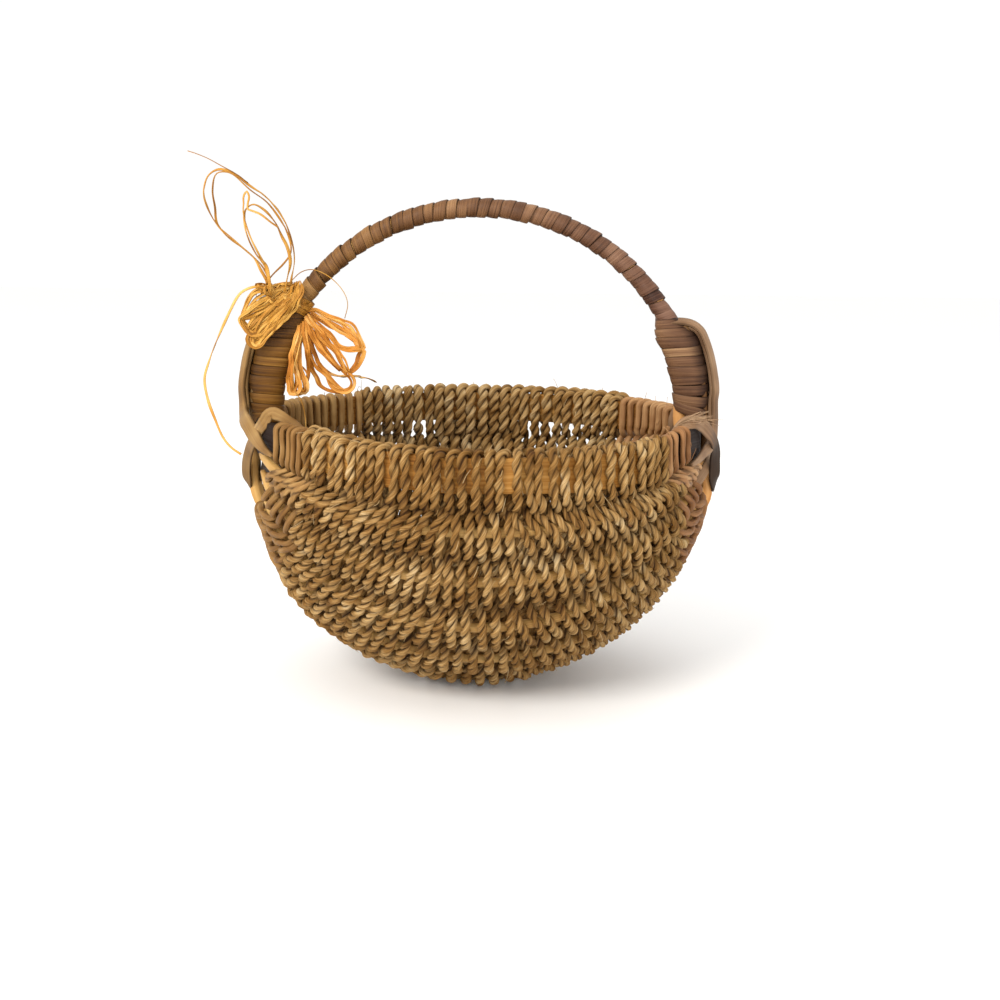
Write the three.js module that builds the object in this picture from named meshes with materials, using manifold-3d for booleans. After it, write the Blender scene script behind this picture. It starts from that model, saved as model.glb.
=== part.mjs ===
// Gathering basket: a ribbed "melon" basket on two hoops, with a fixed wrapped
// handle and a raffia tie on its left shoulder.
// Millimetres, +Z up, +X to the right along the handle, -Y to the front.
// Origin: the middle of the flat foot, on the surface the basket stands on.
import * as THREE from 'three';
import { mergeVertices } from 'three/addons/utils/BufferGeometryUtils.js';
import Module from 'manifold-3d';

const wasm = await Module();
wasm.setup();

// ---------------------------------------------------------------- dimensions
const GAP = 0.3;              // clearance between touching pieces

const RIM_Z = 127;            // height of the middle of the rim hoop
const RIM_R = 110;            // radius of the rim hoop, to the middle of its wood
const RIM_T = 4;              // thickness of the rim wood
const RIM_H = 16;             // height of the rim wood
const RIM_DIP = 3.2;          // sag of the rim at the middle of the front

const KEEL_X = 114.6;         // half width of the keel hoop at the rim
const KEEL_Z = 120;           // depth of the keel hoop below the rim
const KEEL_T = 4;             // thickness of the keel wood
const KEEL_W = 12;            // width of the keel wood

const RIB_W = 4.8;            // rib width
const RIB_T = 4;              // rib thickness
const RIB_THETA = [13, 26.5, 41.5, 58, 75];   // ribs, degrees below the rim
const RIB_END = [66.5, 74, 77, 77, 71.5];     // where each rib ends, degrees

const WEAVE_HALF = 6.2;       // half thickness of the woven wall
const WEAVE_TOP = 12.4;       // top of the rim wraps above the middle of the rim
const WEAVE_END_RIM = 64;     // end of the weave at the rim, degrees from middle
const WEAVE_END_KEEL = 73;    // end of the weave at the keel, degrees from middle
const SEAGRASS_SHARE = 0.65;  // share of the weave that is seagrass
const SEAGRASS_N = 9;         // seagrass weavers
const REED_N = 2;             // reed weavers on each side
const FOOT_EXTRA = 5;         // how far the weave is packed down under the foot

const BOW_R = 109;            // radius of the handle arch
const BOW_CZ = 130.6;         // height of the centre of the arch
const BOW_D = 7;              // thickness of the handle pole
const WRAP_D = 9.6;           // thickness of the handle with its cane wrap
const WRAP_FROM = 31.3;       // wrap starts at this angle on the arch, degrees

const LEG_X = 19.4;           // width of the lashed leg, across the handle
const LEG_Y = 15.2;           // depth of the lashed leg, front to back
const SPLINT_W = 6;           // width of an outer splint
const SPLINT_T = 2;           // thickness of an outer splint
const LASH_W = 5.6;           // width of an ear lashing
const LASH_T = 1.4;           // thickness of an ear lashing

const TIE_ANGLE = 36.5;       // where the raffia is tied, degrees on the arch
const TIE_BORE = 5.8;         // radius inside the raffia binding
const TIE_R = 8.6;            // radius outside the raffia binding
const TIE_L = 16;             // length of the raffia binding along the handle
const RAFFIA_D = 3;           // thickness of one raffia strand bundle

const rad = THREE.MathUtils.degToRad;
const V = (x, y, z) => new THREE.Vector3(x, y, z);

// -------------------------------------------------------------------- solids
// One closed body with merged corners and outward faces.
function closed(geometry) {
  let g = geometry.clone();
  for (const name of Object.keys(g.attributes)) if (name !== 'position') g.deleteAttribute(name);
  g = mergeVertices(g, 1e-4);
  const p = g.attributes.position, index = g.index.array, keep = [];
  let volume = 0;
  const a = V(), b = V(), c = V();
  for (let i = 0; i < index.length; i += 3) {
    const [i0, i1, i2] = [index[i], index[i + 1], index[i + 2]];
    if (i0 === i1 || i1 === i2 || i2 === i0) continue;
    a.fromBufferAttribute(p, i0); b.fromBufferAttribute(p, i1); c.fromBufferAttribute(p, i2);
    volume += a.dot(b.clone().cross(c));
    keep.push(i0, i1, i2);
  }
  if (volume < 0) for (let i = 0; i < keep.length; i += 3) [keep[i + 1], keep[i + 2]] = [keep[i + 2], keep[i + 1]];
  g.setIndex(keep);
  return g;
}

function solid(geometry) {
  const g = closed(geometry);
  return new wasm.Manifold(new wasm.Mesh({
    numProp: 3,
    vertProperties: new Float32Array(g.attributes.position.array),
    triVerts: new Uint32Array(g.index.array),
  }));
}

function surface(manifold) {
  const m = manifold.getMesh();
  const g = new THREE.BufferGeometry();
  const xyz = new Float32Array(m.numVert * 3);
  for (let i = 0; i < m.numVert; i++) for (let k = 0; k < 3; k++) xyz[i * 3 + k] = m.vertProperties[i * m.numProp + k];
  g.setAttribute('position', new THREE.BufferAttribute(xyz, 3));
  g.setIndex([...m.triVerts]);
  return g;
}

function cut(geometry, tools) {
  let s = solid(geometry);
  for (const t of tools) s = s.subtract(t);
  return surface(s);
}

// A regular section with its flats facing the frame of the path.
function ngon(n, rx, ry = rx) {
  const s = new THREE.Shape();
  for (let i = 0; i < n; i++) {
    const a = (2 * Math.PI * (i + 0.5)) / n;
    if (i === 0) s.moveTo(rx * Math.cos(a), ry * Math.sin(a));
    else s.lineTo(rx * Math.cos(a), ry * Math.sin(a));
  }
  s.closePath();
  return s;
}

const along = (shape, path, steps) =>
  new THREE.ExtrudeGeometry(shape, { steps, bevelEnabled: false, extrudePath: path });

// A path given by a function of t from 0 to 1.
class Path extends THREE.Curve {
  constructor(f) { super(); this.f = f; }
  getPoint(t, target = V()) { return target.copy(this.f(t)); }
}

// A box bent by a function of its three unit coordinates.
function bent(nu, nv, nw, f) {
  const g = new THREE.BoxGeometry(1, 1, 1, nu, nv, nw);
  const p = g.attributes.position;
  for (let i = 0; i < p.count; i++) {
    const q = f(p.getX(i), p.getY(i), p.getZ(i) + 0.5);
    p.setXYZ(i, q.x, q.y, q.z);
  }
  return g;
}

// A flat strip along points, each with the direction its face looks to.
function strip(points, width, thick, steps) {
  const line = new THREE.CatmullRomCurve3(points.map((q) => V(q[0], q[1], q[2])), false, 'centripetal');
  const face = new THREE.CatmullRomCurve3(points.map((q) => V(q[3], q[4], q[5])), false, 'centripetal');
  return bent(1, 1, steps, (u, v, t) => {
    const at = line.getPoint(t), dir = line.getTangent(t);
    const n = face.getPoint(t);
    n.addScaledVector(dir, -n.dot(dir)).normalize();
    const w = dir.clone().cross(n);
    return at.addScaledVector(w, u * width).addScaledVector(n, v * thick);
  });
}

// ------------------------------------------------------------- bowl geometry
// phi: degrees from the middle of the basket towards an ear.
// theta: 0 at the front rim, 90 at the keel, 180 at the back rim.
function bowl(phi, theta, offset = 0) {
  const f = rad(phi), t = rad(theta);
  const ax = RIM_R + (KEEL_X - RIM_R) * Math.sin(t) ** 2;
  const p = V(ax * Math.sin(f), -RIM_R * Math.cos(f) * Math.cos(t), -KEEL_Z * Math.cos(f) * Math.sin(t));
  const n = V(p.x / ax ** 2, p.y / RIM_R ** 2, p.z / KEEL_Z ** 2).normalize();
  return p.addScaledVector(n, offset).add(V(0, 0, RIM_Z));
}

const weaveEnd = (theta) => WEAVE_END_RIM + (WEAVE_END_KEEL - WEAVE_END_RIM) * Math.sin(rad(theta)) ** 2;

// The rim sags a little towards the middle of the front, and what is on it too.
function sag(geometry) {
  const p = geometry.attributes.position;
  for (let i = 0; i < p.count; i++) {
    const y = p.getY(i), z = p.getZ(i);
    const front = Math.max(0, -y / RIM_R), high = THREE.MathUtils.smoothstep(z, RIM_Z - 70, RIM_Z - 5);
    p.setZ(i, z - RIM_DIP * Math.min(1, front * front) * high);
  }
  return geometry;
}

// --------------------------------------------------------------- inner frame
// The weave is made of lengths, each between two shares of its width. The rim,
// keel and ribs are straight inside each length and turn where two lengths meet.
const SHARES = [];
for (let i = REED_N; i > 0; i--) SHARES.push(-SEAGRASS_SHARE - (i * (1 - SEAGRASS_SHARE)) / REED_N);
for (let i = 0; i <= SEAGRASS_N; i++) SHARES.push(SEAGRASS_SHARE * ((2 * i) / SEAGRASS_N - 1));
for (let i = 1; i <= REED_N; i++) SHARES.push(SEAGRASS_SHARE + (i * (1 - SEAGRASS_SHARE)) / REED_N);

// A bar through a list of sections; at(section, u, v) gives a point of a section.
const bar = (sections, at) => bent(1, 1, sections.length - 1,
  (u, v, t) => at(sections[Math.round(t * (sections.length - 1))], u, v));
// The straight piece of a bar between two sections, a little longer at each end.
const straight = (one, two, at) => bent(1, 1, 1, (u, v, t) => {
  const p = at(one, u, v), q = at(two, u, v);
  return t < 0.5 ? p.addScaledVector(q.clone().sub(p), -0.1) : q.addScaledVector(p.clone().sub(q), -0.1);
});

// The rim hoop: angles from the middle of the front, turning to the right.
const rimAngles = [...SHARES.map((s) => s * WEAVE_END_RIM), 76, 90, 104,
  ...SHARES.map((s) => 180 + s * WEAVE_END_RIM), 256, 270, 284];
const rimAt = (grow) => (angle, u, v) => {
  const r = RIM_R + v * (RIM_T + 2 * grow);
  return V(r * Math.sin(rad(angle)), -r * Math.cos(rad(angle)), RIM_Z + u * (RIM_H + 2 * grow));
};
function rimHoop() {
  const n = rimAngles.length, half = [RIM_T / 2, RIM_H / 2];
  const g = new THREE.LatheGeometry([[-1, -1], [1, -1], [1, 1], [-1, 1], [-1, -1]]
    .map(([x, y]) => new THREE.Vector2(RIM_R + x * half[0], y * half[1])), n);
  const p = g.attributes.position;
  for (let i = 0; i < p.count; i++) {
    const turn = Math.atan2(p.getX(i), p.getZ(i)) / (2 * Math.PI) * n;
    const angle = rimAngles[((Math.round(turn) % n) + n) % n];
    const q = rimAt(0)(angle, Math.sign(p.getY(i)) / 2, Math.hypot(p.getX(i), p.getZ(i)) > RIM_R ? 0.5 : -0.5);
    p.setXYZ(i, q.x, q.y, q.z);
  }
  return g;
}

// The keel hoop: a half oval under the bowl, with both ends standing up
// outside the rim and leaning in to the shoulders of the handle.
const UPRIGHT = [[114.4, 137], [113.2, 150], [110.9, 161], [107.8, 171], [102.5, 183], [101.3, 185.2]];
const keelLow = (phi) => {
  const n = V(Math.sin(rad(phi)) / KEEL_X, 0, -Math.cos(rad(phi)) / KEEL_Z).normalize();
  return { at: V(KEEL_X * Math.sin(rad(phi)), 0, RIM_Z - KEEL_Z * Math.cos(rad(phi))), n };
};
const keelUp = (side) => UPRIGHT.map(([x, z], i) => {
  const [x0, z0] = i ? UPRIGHT[i - 1] : [KEEL_X, RIM_Z], [x1, z1] = UPRIGHT[Math.min(i + 1, UPRIGHT.length - 1)];
  return { at: V(side * x, 0, z), n: V(side * (z1 - z0), 0, -(x1 - x0)).normalize() };
});
const keelSections = [...keelUp(-1).reverse(), keelLow(-90), keelLow(-81),
  ...SHARES.map((s) => keelLow(s * WEAVE_END_KEEL)), keelLow(81), keelLow(90), ...keelUp(1)];
const keelAt = (grow) => ({ at, n }, u, v) =>
  at.clone().addScaledVector(n, v * (KEEL_T + 2 * grow)).add(V(0, u * (KEEL_W + 2 * grow), 0));

// A rib: a flat-oval reed from ear to ear, its flat side to the wall.
const ribAt = (theta, grow) => (phi, u, v) => {
  const across = bowl(phi, theta + 0.3).sub(bowl(phi, theta - 0.3)).normalize();
  return bowl(phi, theta, v * (RIB_T + 2 * grow)).addScaledVector(across, u * (RIB_W + 2 * grow));
};
const ribSections = (theta, end) => [-end, ...SHARES.map((s) => s * weaveEnd(theta)).filter((p) => Math.abs(p) < end - 1), end];

// -------------------------------------------------------------------- handle
const bowPoints = [[103.6, 119], [104.0, 134], [104.2, 147], [103.7, 158]];
const bowPath = (() => {
  const pts = bowPoints.map(([x, z]) => V(-x, 0, z));
  for (let a = 159; a >= 21; a -= 6) pts.push(V(BOW_R * Math.cos(rad(a)), 0, BOW_CZ + BOW_R * Math.sin(rad(a))));
  for (let i = bowPoints.length - 1; i >= 0; i--) pts.push(V(bowPoints[i][0], 0, bowPoints[i][1]));
  return new THREE.CatmullRomCurve3(pts, false, 'centripetal');
})();
const bow = (grow) => along(ngon(6, BOW_D / 2 + grow), bowPath, 44);

const wrapShape = ngon(8, WRAP_D / 2);
wrapShape.holes.push(ngon(6, BOW_D / 2 + GAP * 1.5));
const wrapPath = new Path((t) => {
  const a = rad(180 - WRAP_FROM - t * (180 - 2 * WRAP_FROM));
  return V(BOW_R * Math.cos(a), 0, BOW_CZ + BOW_R * Math.sin(a));
});

const LEG_LINE = [[108, 136.4], [107.9, 144], [107.2, 151], [104.6, 161], [100.9, 171], [96.6, 183], [95.9, 185.2]];
function leg(side) {
  const line = new THREE.CatmullRomCurve3(LEG_LINE.map(([x, z]) => V(side * x, 0, z)), false, 'centripetal');
  const s = new THREE.Shape(), c = 2.2, hx = LEG_Y / 2, hy = LEG_X / 2;
  s.moveTo(-hx + c, -hy); s.lineTo(hx - c, -hy); s.lineTo(hx, -hy + c); s.lineTo(hx, hy - c);
  s.lineTo(hx - c, hy); s.lineTo(-hx + c, hy); s.lineTo(-hx, hy - c); s.lineTo(-hx, -hy + c);
  s.closePath();
  return along(s, line, 10);
}

// An outer splint runs down outside the leg, then forward (or back) over the
// rim to the first reed wrap.
function splint(side, way) {
  const q = [
    [109.4, 3.5, 183.6, 0.88, 0, 0.47], [113.8, 3.5, 172.6, 0.92, 0, 0.39], [116.8, 3.5, 162, 0.96, 0, 0.28],
    [119.2, 3.5, 150, 0.99, 0, 0.12], [120.5, 3.9, 140.5, 1, 0.06, 0], [119.7, 8, 133, 0.98, 0.2, 0],
    [115.9, 17.5, 128.4, 0.985, 0.17, 0], [110.7, 31, 124.6, 0.963, 0.27, 0], [103.2, 47, 121.4, 0.91, 0.414, 0],
  ];
  return strip(q.map(([x, y, z, nx, ny, nz]) => [side * x, way * y, z, side * nx, way * ny, nz]), SPLINT_W, SPLINT_T, 20);
}

// An ear lashing comes along the inside of the rim and over its top, crosses
// under the splint and runs down the outside of the keel.
function lash(side, way) {
  const onKeel = (z) => {
    const s = (RIM_Z - z) / KEEL_Z, c = Math.sqrt(1 - s * s);
    const n = V(c / KEEL_X, 0, -s / KEEL_Z).normalize(), d = KEEL_T / 2 + 0.5 + LASH_T / 2;
    return [KEEL_X * c + n.x * d, 3.1, z + n.z * d, n.x, 0, n.z];
  };
  const q = [
    [98.1, 40.6, 128.5, -0.92, -0.38, 0], [101.3, 29.1, 132.8, -0.94, -0.26, 0.2], [104.6, 22.2, 136.8, -0.6, -0.1, 0.8],
    [108.7, 16.3, 137.7, 0, 0, 1], [112, 12.9, 136.4, 0.68, 0.1, 0.72], [113.2, 11.5, 132.8, 0.98, 0.14, 0.1],
    [114.4, 10.6, 129.2, 0.98, 0.2, 0], [117, 8.2, 124, 0.95, 0.3, 0],
    [118, 4.8, 118.6, 0.99, 0.1, 0], onKeel(110), onKeel(101), onKeel(93.5),
  ];
  return strip(q.map(([x, y, z, nx, ny, nz]) => [side * x, way * y, z, side * nx, way * ny, nz]), LASH_W, LASH_T, 22);
}

// --------------------------------------------------------------------- weave
const ribs = RIB_THETA.flatMap((theta, i) => [
  { name: `rib_front_${i + 1}`, theta, end: RIB_END[i] }, { name: `rib_back_${i + 1}`, theta: 180 - theta, end: RIB_END[i] }]);

// The ways that one length of weave leaves for the rim, the keel and the ribs.
function ways(from, to) {
  const tools = [
    straight(from * WEAVE_END_RIM, to * WEAVE_END_RIM, rimAt(GAP)),
    straight(180 - from * WEAVE_END_RIM, 180 - to * WEAVE_END_RIM, rimAt(GAP)),
    straight(keelLow(from * WEAVE_END_KEEL), keelLow(to * WEAVE_END_KEEL), keelAt(GAP)),
  ];
  for (const { theta } of ribs) tools.push(straight(from * weaveEnd(theta), to * weaveEnd(theta), ribAt(theta, GAP + 0.1)));
  return tools.map(solid);
}

// Stations of a weaver from the front rim, under the bowl, to the back rim.
const STATIONS = [{ theta: 0, up: WEAVE_TOP }];
for (let t = 0; t <= 180; t += 11.25) STATIONS.push({ theta: t, up: 0 });
STATIONS.push({ theta: 180, up: WEAVE_TOP });

// One length of weaver, worked back and forth: a band of the wall between two
// shares of the weave, over the rim at both ends.
function weaver(from, to, across = 1) {
  const g = bent(across, 1, STATIONS.length - 1, (u, v, t) => {
    const s = STATIONS[Math.round(t * (STATIONS.length - 1))];
    const share = from + (to - from) * (u + 0.5);
    const side = u === 0 ? 0 : Math.sign(u) * -GAP * 0.7 / 2;
    const phi = share * weaveEnd(s.theta) + side;
    const low = Math.cos(rad(phi)) * Math.sin(rad(s.theta));
    const offset = v > 0 ? WEAVE_HALF + FOOT_EXTRA * low ** 8 : -WEAVE_HALF;
    const p = bowl(phi, s.theta, offset);
    p.z = Math.max(0, p.z) + s.up;
    return p;
  });
  return cut(g, ways(from, to));
}

// -------------------------------------------------------------------- raffia
const tieA = rad(180 - TIE_ANGLE);
const tieAt = V(BOW_R * Math.cos(tieA), 0, BOW_CZ + BOW_R * Math.sin(tieA));
const tieAxis = V(Math.sin(rad(TIE_ANGLE)), 0, Math.cos(rad(TIE_ANGLE)));    // up along the handle
const tieOut = V(-Math.cos(rad(TIE_ANGLE)), 0, Math.sin(rad(TIE_ANGLE)));    // away from the bowl

function binding() {
  const h = TIE_L / 2;
  const g = new THREE.LatheGeometry([[TIE_BORE, -h], [TIE_R - 0.8, -h], [TIE_R, -h + 2], [TIE_R, h - 2], [TIE_R - 0.8, h],
    [TIE_BORE, h], [TIE_BORE, -h]].map(([x, y]) => new THREE.Vector2(x, y)), 14);
  return g.applyQuaternion(new THREE.Quaternion().setFromUnitVectors(V(0, 1, 0), tieAxis)).translate(tieAt.x, tieAt.y, tieAt.z);
}

function knot() {
  const g = new THREE.SphereGeometry(1, 12, 8);
  const m = new THREE.Matrix4().makeBasis(
    tieOut.clone().multiplyScalar(10.5), tieAxis.clone().multiplyScalar(17), V(0, 1, 0).multiplyScalar(5.5));
  const at = tieAt.clone().addScaledVector(tieAxis, -10).addScaledVector(tieOut, 11).add(V(0, -15.5, 0));
  return g.applyMatrix4(m).translate(at.x, at.y, at.z);
}

// The hank of short loops that hangs inside the handle: its outline.
const FAN = [[-80.5, 182], [-74, 187], [-66.5, 184], [-58.6, 172], [-60, 160], [-66, 149.6], [-76, 152],
  [-86, 149.2], [-90.6, 152], [-88.6, 166], [-84.6, 175.5]];
const FAN_Y = [-3, 8];
function fan() {
  const s = new THREE.Shape(FAN.map(([x, z]) => new THREE.Vector2(x, z)));
  return new THREE.ExtrudeGeometry(s, { depth: FAN_Y[1] - FAN_Y[0], steps: 1, bevelEnabled: false })
    .rotateX(Math.PI / 2).translate(0, FAN_Y[1], 0);
}

const strand = (points, steps) =>
  along(ngon(8, RAFFIA_D / 2), new THREE.CatmullRomCurve3(points.map((q) => V(...q)), false, 'centripetal'), steps);

const TALL_LOOP = [[-107.6, -14.5, 208.8], [-110.5, -14.5, 214], [-116, -15, 219], [-123.3, -16, 224.6], [-129.7, -17, 233],
  [-133.6, -17, 242.4], [-133.4, -17, 248.2], [-131.2, -17, 253.4], [-126, -17, 256.2], [-118, -16.5, 253.6],
  [-112, -16, 249], [-104.6, -15, 243.8], [-98.1, -14, 236.5], [-94.2, -13, 229], [-91.8, -12, 220.3], [-91.2, -12, 212.5]];
const INNER_LOOP = [[-104.4, -18.5, 210.6], [-108.6, -20, 215.5], [-112.4, -20.5, 223], [-114, -20.5, 231.5], [-113, -20.5, 237.6],
  [-109.6, -20.5, 239.8], [-104.6, -20.5, 236.8], [-100, -20, 229], [-97.4, -19, 221], [-96.4, -18.5, 212.8]];
const TAIL = [[-117.2, -17.5, 193.6], [-121.5, -18.5, 185], [-127.2, -20.5, 172], [-132, -23, 161], [-133.6, -25.5, 153],
  [-131.6, -29, 143], [-128.4, -32, 134.6], [-121.8, -36, 119.4]];

// ------------------------------------------------------------------ materials
const WOOD = { color: 0xaf7841, roughness: 0.62, metalness: 0 };
const PALE_WOOD = { color: 0xcda569, roughness: 0.6, metalness: 0 };
const CANE = { color: 0x966e46, roughness: 0.5, metalness: 0 };
const SEAGRASS = { color: 0xb08b58, roughness: 0.8, metalness: 0 };
const REED = { color: 0x96734b, roughness: 0.6, metalness: 0 };
const RAFFIA = { color: 0xdc9632, roughness: 0.55, metalness: 0 };

const basket = new THREE.Group();
function add(parent, name, geometry, look) {
  const mesh = new THREE.Mesh(sag(closed(geometry)), new THREE.MeshStandardMaterial(look));
  mesh.geometry.computeVertexNormals();
  mesh.name = name;
  parent.add(mesh);
}

// frame of the bowl
add(basket, 'rim_hoop', rimHoop(), WOOD);
add(basket, 'keel_hoop', bar(keelSections, keelAt(0)), PALE_WOOD);
for (const { name, theta, end } of ribs) add(basket, name, bar(ribSections(theta, end), ribAt(theta, 0)), REED);

// handle
add(basket, 'handle_bow', bow(0), PALE_WOOD);
add(basket, 'handle_wrap', along(wrapShape, wrapPath, 26), CANE);
const past = (section) => ({ at: section.at.clone().add(V(-Math.sign(section.at.x) * 2.4, 0, 4.6)), n: section.n });
const legTools = [solid(bow(GAP)), solid(bar([past(keelSections[0]), ...keelSections, past(keelSections.at(-1))], keelAt(GAP)))];
for (const [name, side] of [['left', -1], ['right', 1]]) {
  add(basket, `${name}_leg_wrap`, cut(leg(side), legTools), CANE);
  add(basket, `${name}_outer_splint_front`, splint(side, -1), CANE);
  add(basket, `${name}_outer_splint_back`, splint(side, 1), CANE);
  add(basket, `${name}_ear_lash_front`, lash(side, -1), CANE);
  add(basket, `${name}_ear_lash_back`, lash(side, 1), CANE);
}

// weave
for (let i = 0; i < SEAGRASS_N; i++) {
  const step = (2 * SEAGRASS_SHARE) / SEAGRASS_N;
  add(basket, `seagrass_weaver_${i + 1}`, weaver(-SEAGRASS_SHARE + i * step, -SEAGRASS_SHARE + (i + 1) * step, Math.abs(i - 4) < 2 ? 2 : 1), SEAGRASS);
}
for (let i = 0; i < REED_N; i++) {
  const step = (1 - SEAGRASS_SHARE) / REED_N, a = SEAGRASS_SHARE + i * step;
  add(basket, `reed_weaver_left_${i + 1}`, weaver(-a - step, -a), REED);
  add(basket, `reed_weaver_right_${i + 1}`, weaver(a, a + step), REED);
}

// raffia tie, which turns on the handle
const tie = new THREE.Group();
add(tie, 'raffia_binding', binding(), RAFFIA);
add(tie, 'raffia_knot', knot(), RAFFIA);
add(tie, 'raffia_fan', fan(), RAFFIA);
add(tie, 'raffia_tall_loop', strand(TALL_LOOP, 24), RAFFIA);
add(tie, 'raffia_inner_loop', strand(INNER_LOOP, 14), RAFFIA);
add(tie, 'raffia_tail', strand(TAIL, 14), RAFFIA);
basket.add(tie);

export default basket;
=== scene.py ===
import math
import bpy
import numpy as np
from mathutils import Matrix


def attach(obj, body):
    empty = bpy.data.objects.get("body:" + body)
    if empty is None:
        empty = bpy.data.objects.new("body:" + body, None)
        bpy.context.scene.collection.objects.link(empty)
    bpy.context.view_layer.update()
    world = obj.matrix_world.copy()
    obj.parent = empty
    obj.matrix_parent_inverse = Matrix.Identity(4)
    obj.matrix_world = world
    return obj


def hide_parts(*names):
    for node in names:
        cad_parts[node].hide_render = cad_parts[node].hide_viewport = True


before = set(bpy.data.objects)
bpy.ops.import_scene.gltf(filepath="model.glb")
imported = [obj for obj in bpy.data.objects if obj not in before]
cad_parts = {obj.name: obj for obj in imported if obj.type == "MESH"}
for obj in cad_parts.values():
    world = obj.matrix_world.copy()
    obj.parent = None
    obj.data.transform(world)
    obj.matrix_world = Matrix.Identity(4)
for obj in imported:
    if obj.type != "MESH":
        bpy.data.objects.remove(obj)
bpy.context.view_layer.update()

MM = 0.001
rng = np.random.RandomState(20417)

# --------------------------------------------------------------------------- camera
def camera():
    p, y, r = 0.188, 0.0148, 0.012
    cp, sp, cy, sy, cr, sr = math.cos(p), math.sin(p), math.cos(y), math.sin(y), math.cos(r), math.sin(r)
    f = np.array([cp * sy, cp * cy, -sp])
    r0, u0 = np.array([cy, -sy, 0.0]), np.array([sp * sy, sp * cy, cp])
    right, up = cr * r0 + sr * u0, -sr * r0 + cr * u0
    data = bpy.data.cameras.new("camera")
    data.sensor_fit, data.sensor_width, data.lens = "HORIZONTAL", 36.0, 36.0 * 1486 / 1000
    data.clip_start, data.clip_end = 0.01, 50
    ob = bpy.data.objects.new("camera", data)
    bpy.context.collection.objects.link(ob)
    at = (0.0, -0.750, 0.235)
    ob.matrix_world = Matrix([[right[i], up[i], -f[i], at[i]] for i in range(3)] + [[0, 0, 0, 1]])
    bpy.context.scene.camera = ob

camera()

# -------------------------------------------------------------------------- helpers
def unit(v):
    return v / np.maximum(np.linalg.norm(v, axis=-1, keepdims=True), 1e-12)

def smooth(points, step):
    """A centripetal Catmull-Rom line through points, at an even step."""
    p = np.asarray(points, float)
    p = np.vstack([2 * p[0] - p[1], p, 2 * p[-1] - p[-2]])
    out = []
    for i in range(1, len(p) - 2):
        a, b, c, d = p[i - 1], p[i], p[i + 1], p[i + 2]
        t0 = 0.0
        t1 = t0 + max(np.linalg.norm(b[:3] - a[:3]), 1e-6) ** 0.5
        t2 = t1 + max(np.linalg.norm(c[:3] - b[:3]), 1e-6) ** 0.5
        t3 = t2 + max(np.linalg.norm(d[:3] - c[:3]), 1e-6) ** 0.5
        t = np.linspace(t1, t2, 24, endpoint=False)[:, None]
        a1 = (t1 - t) / (t1 - t0) * a + (t - t0) / (t1 - t0) * b
        a2 = (t2 - t) / (t2 - t1) * b + (t - t1) / (t2 - t1) * c
        a3 = (t3 - t) / (t3 - t2) * c + (t - t2) / (t3 - t2) * d
        b1 = (t2 - t) / (t2 - t0) * a1 + (t - t0) / (t2 - t0) * a2
        b2 = (t3 - t) / (t3 - t1) * a2 + (t - t1) / (t3 - t1) * a3
        out.append((t2 - t) / (t2 - t1) * b1 + (t - t1) / (t2 - t1) * b2)
    out.append(p[-2][None])
    return even(np.vstack(out), step)

def length_of(p):
    return np.concatenate([[0], np.cumsum(np.linalg.norm(np.diff(p[:, :3], axis=0), axis=1))])

def even(p, step):
    """The same line with points an even step apart."""
    s = length_of(p)
    n = max(3, int(round(s[-1] / step)) + 1)
    at = np.linspace(0, s[-1], n)
    return np.stack([np.interp(at, s, p[:, k]) for k in range(p.shape[1])], 1)

def tangents(p, closed=False):
    if closed:
        return unit(np.roll(p, -1, 0) - np.roll(p, 1, 0))
    return unit(np.gradient(p, axis=0))

def frames(p, guide=None, closed=False):
    """Tangent, normal and side of a line. The normal follows guide, or turns as little as it can."""
    t = tangents(p, closed)
    if guide is None:
        n = np.zeros_like(p)
        first = np.array([0.0, 0, 1]) if abs(t[0][2]) < 0.9 else np.array([1.0, 0, 0])
        n[0] = unit(first - t[0] * first.dot(t[0]))
        for i in range(1, len(p)):
            v = n[i - 1] - t[i] * n[i - 1].dot(t[i])
            n[i] = v / max(np.linalg.norm(v), 1e-9)
    else:
        n = unit(guide - t * (guide * t).sum(1, keepdims=True))
    return t, n, np.cross(t, n)

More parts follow.
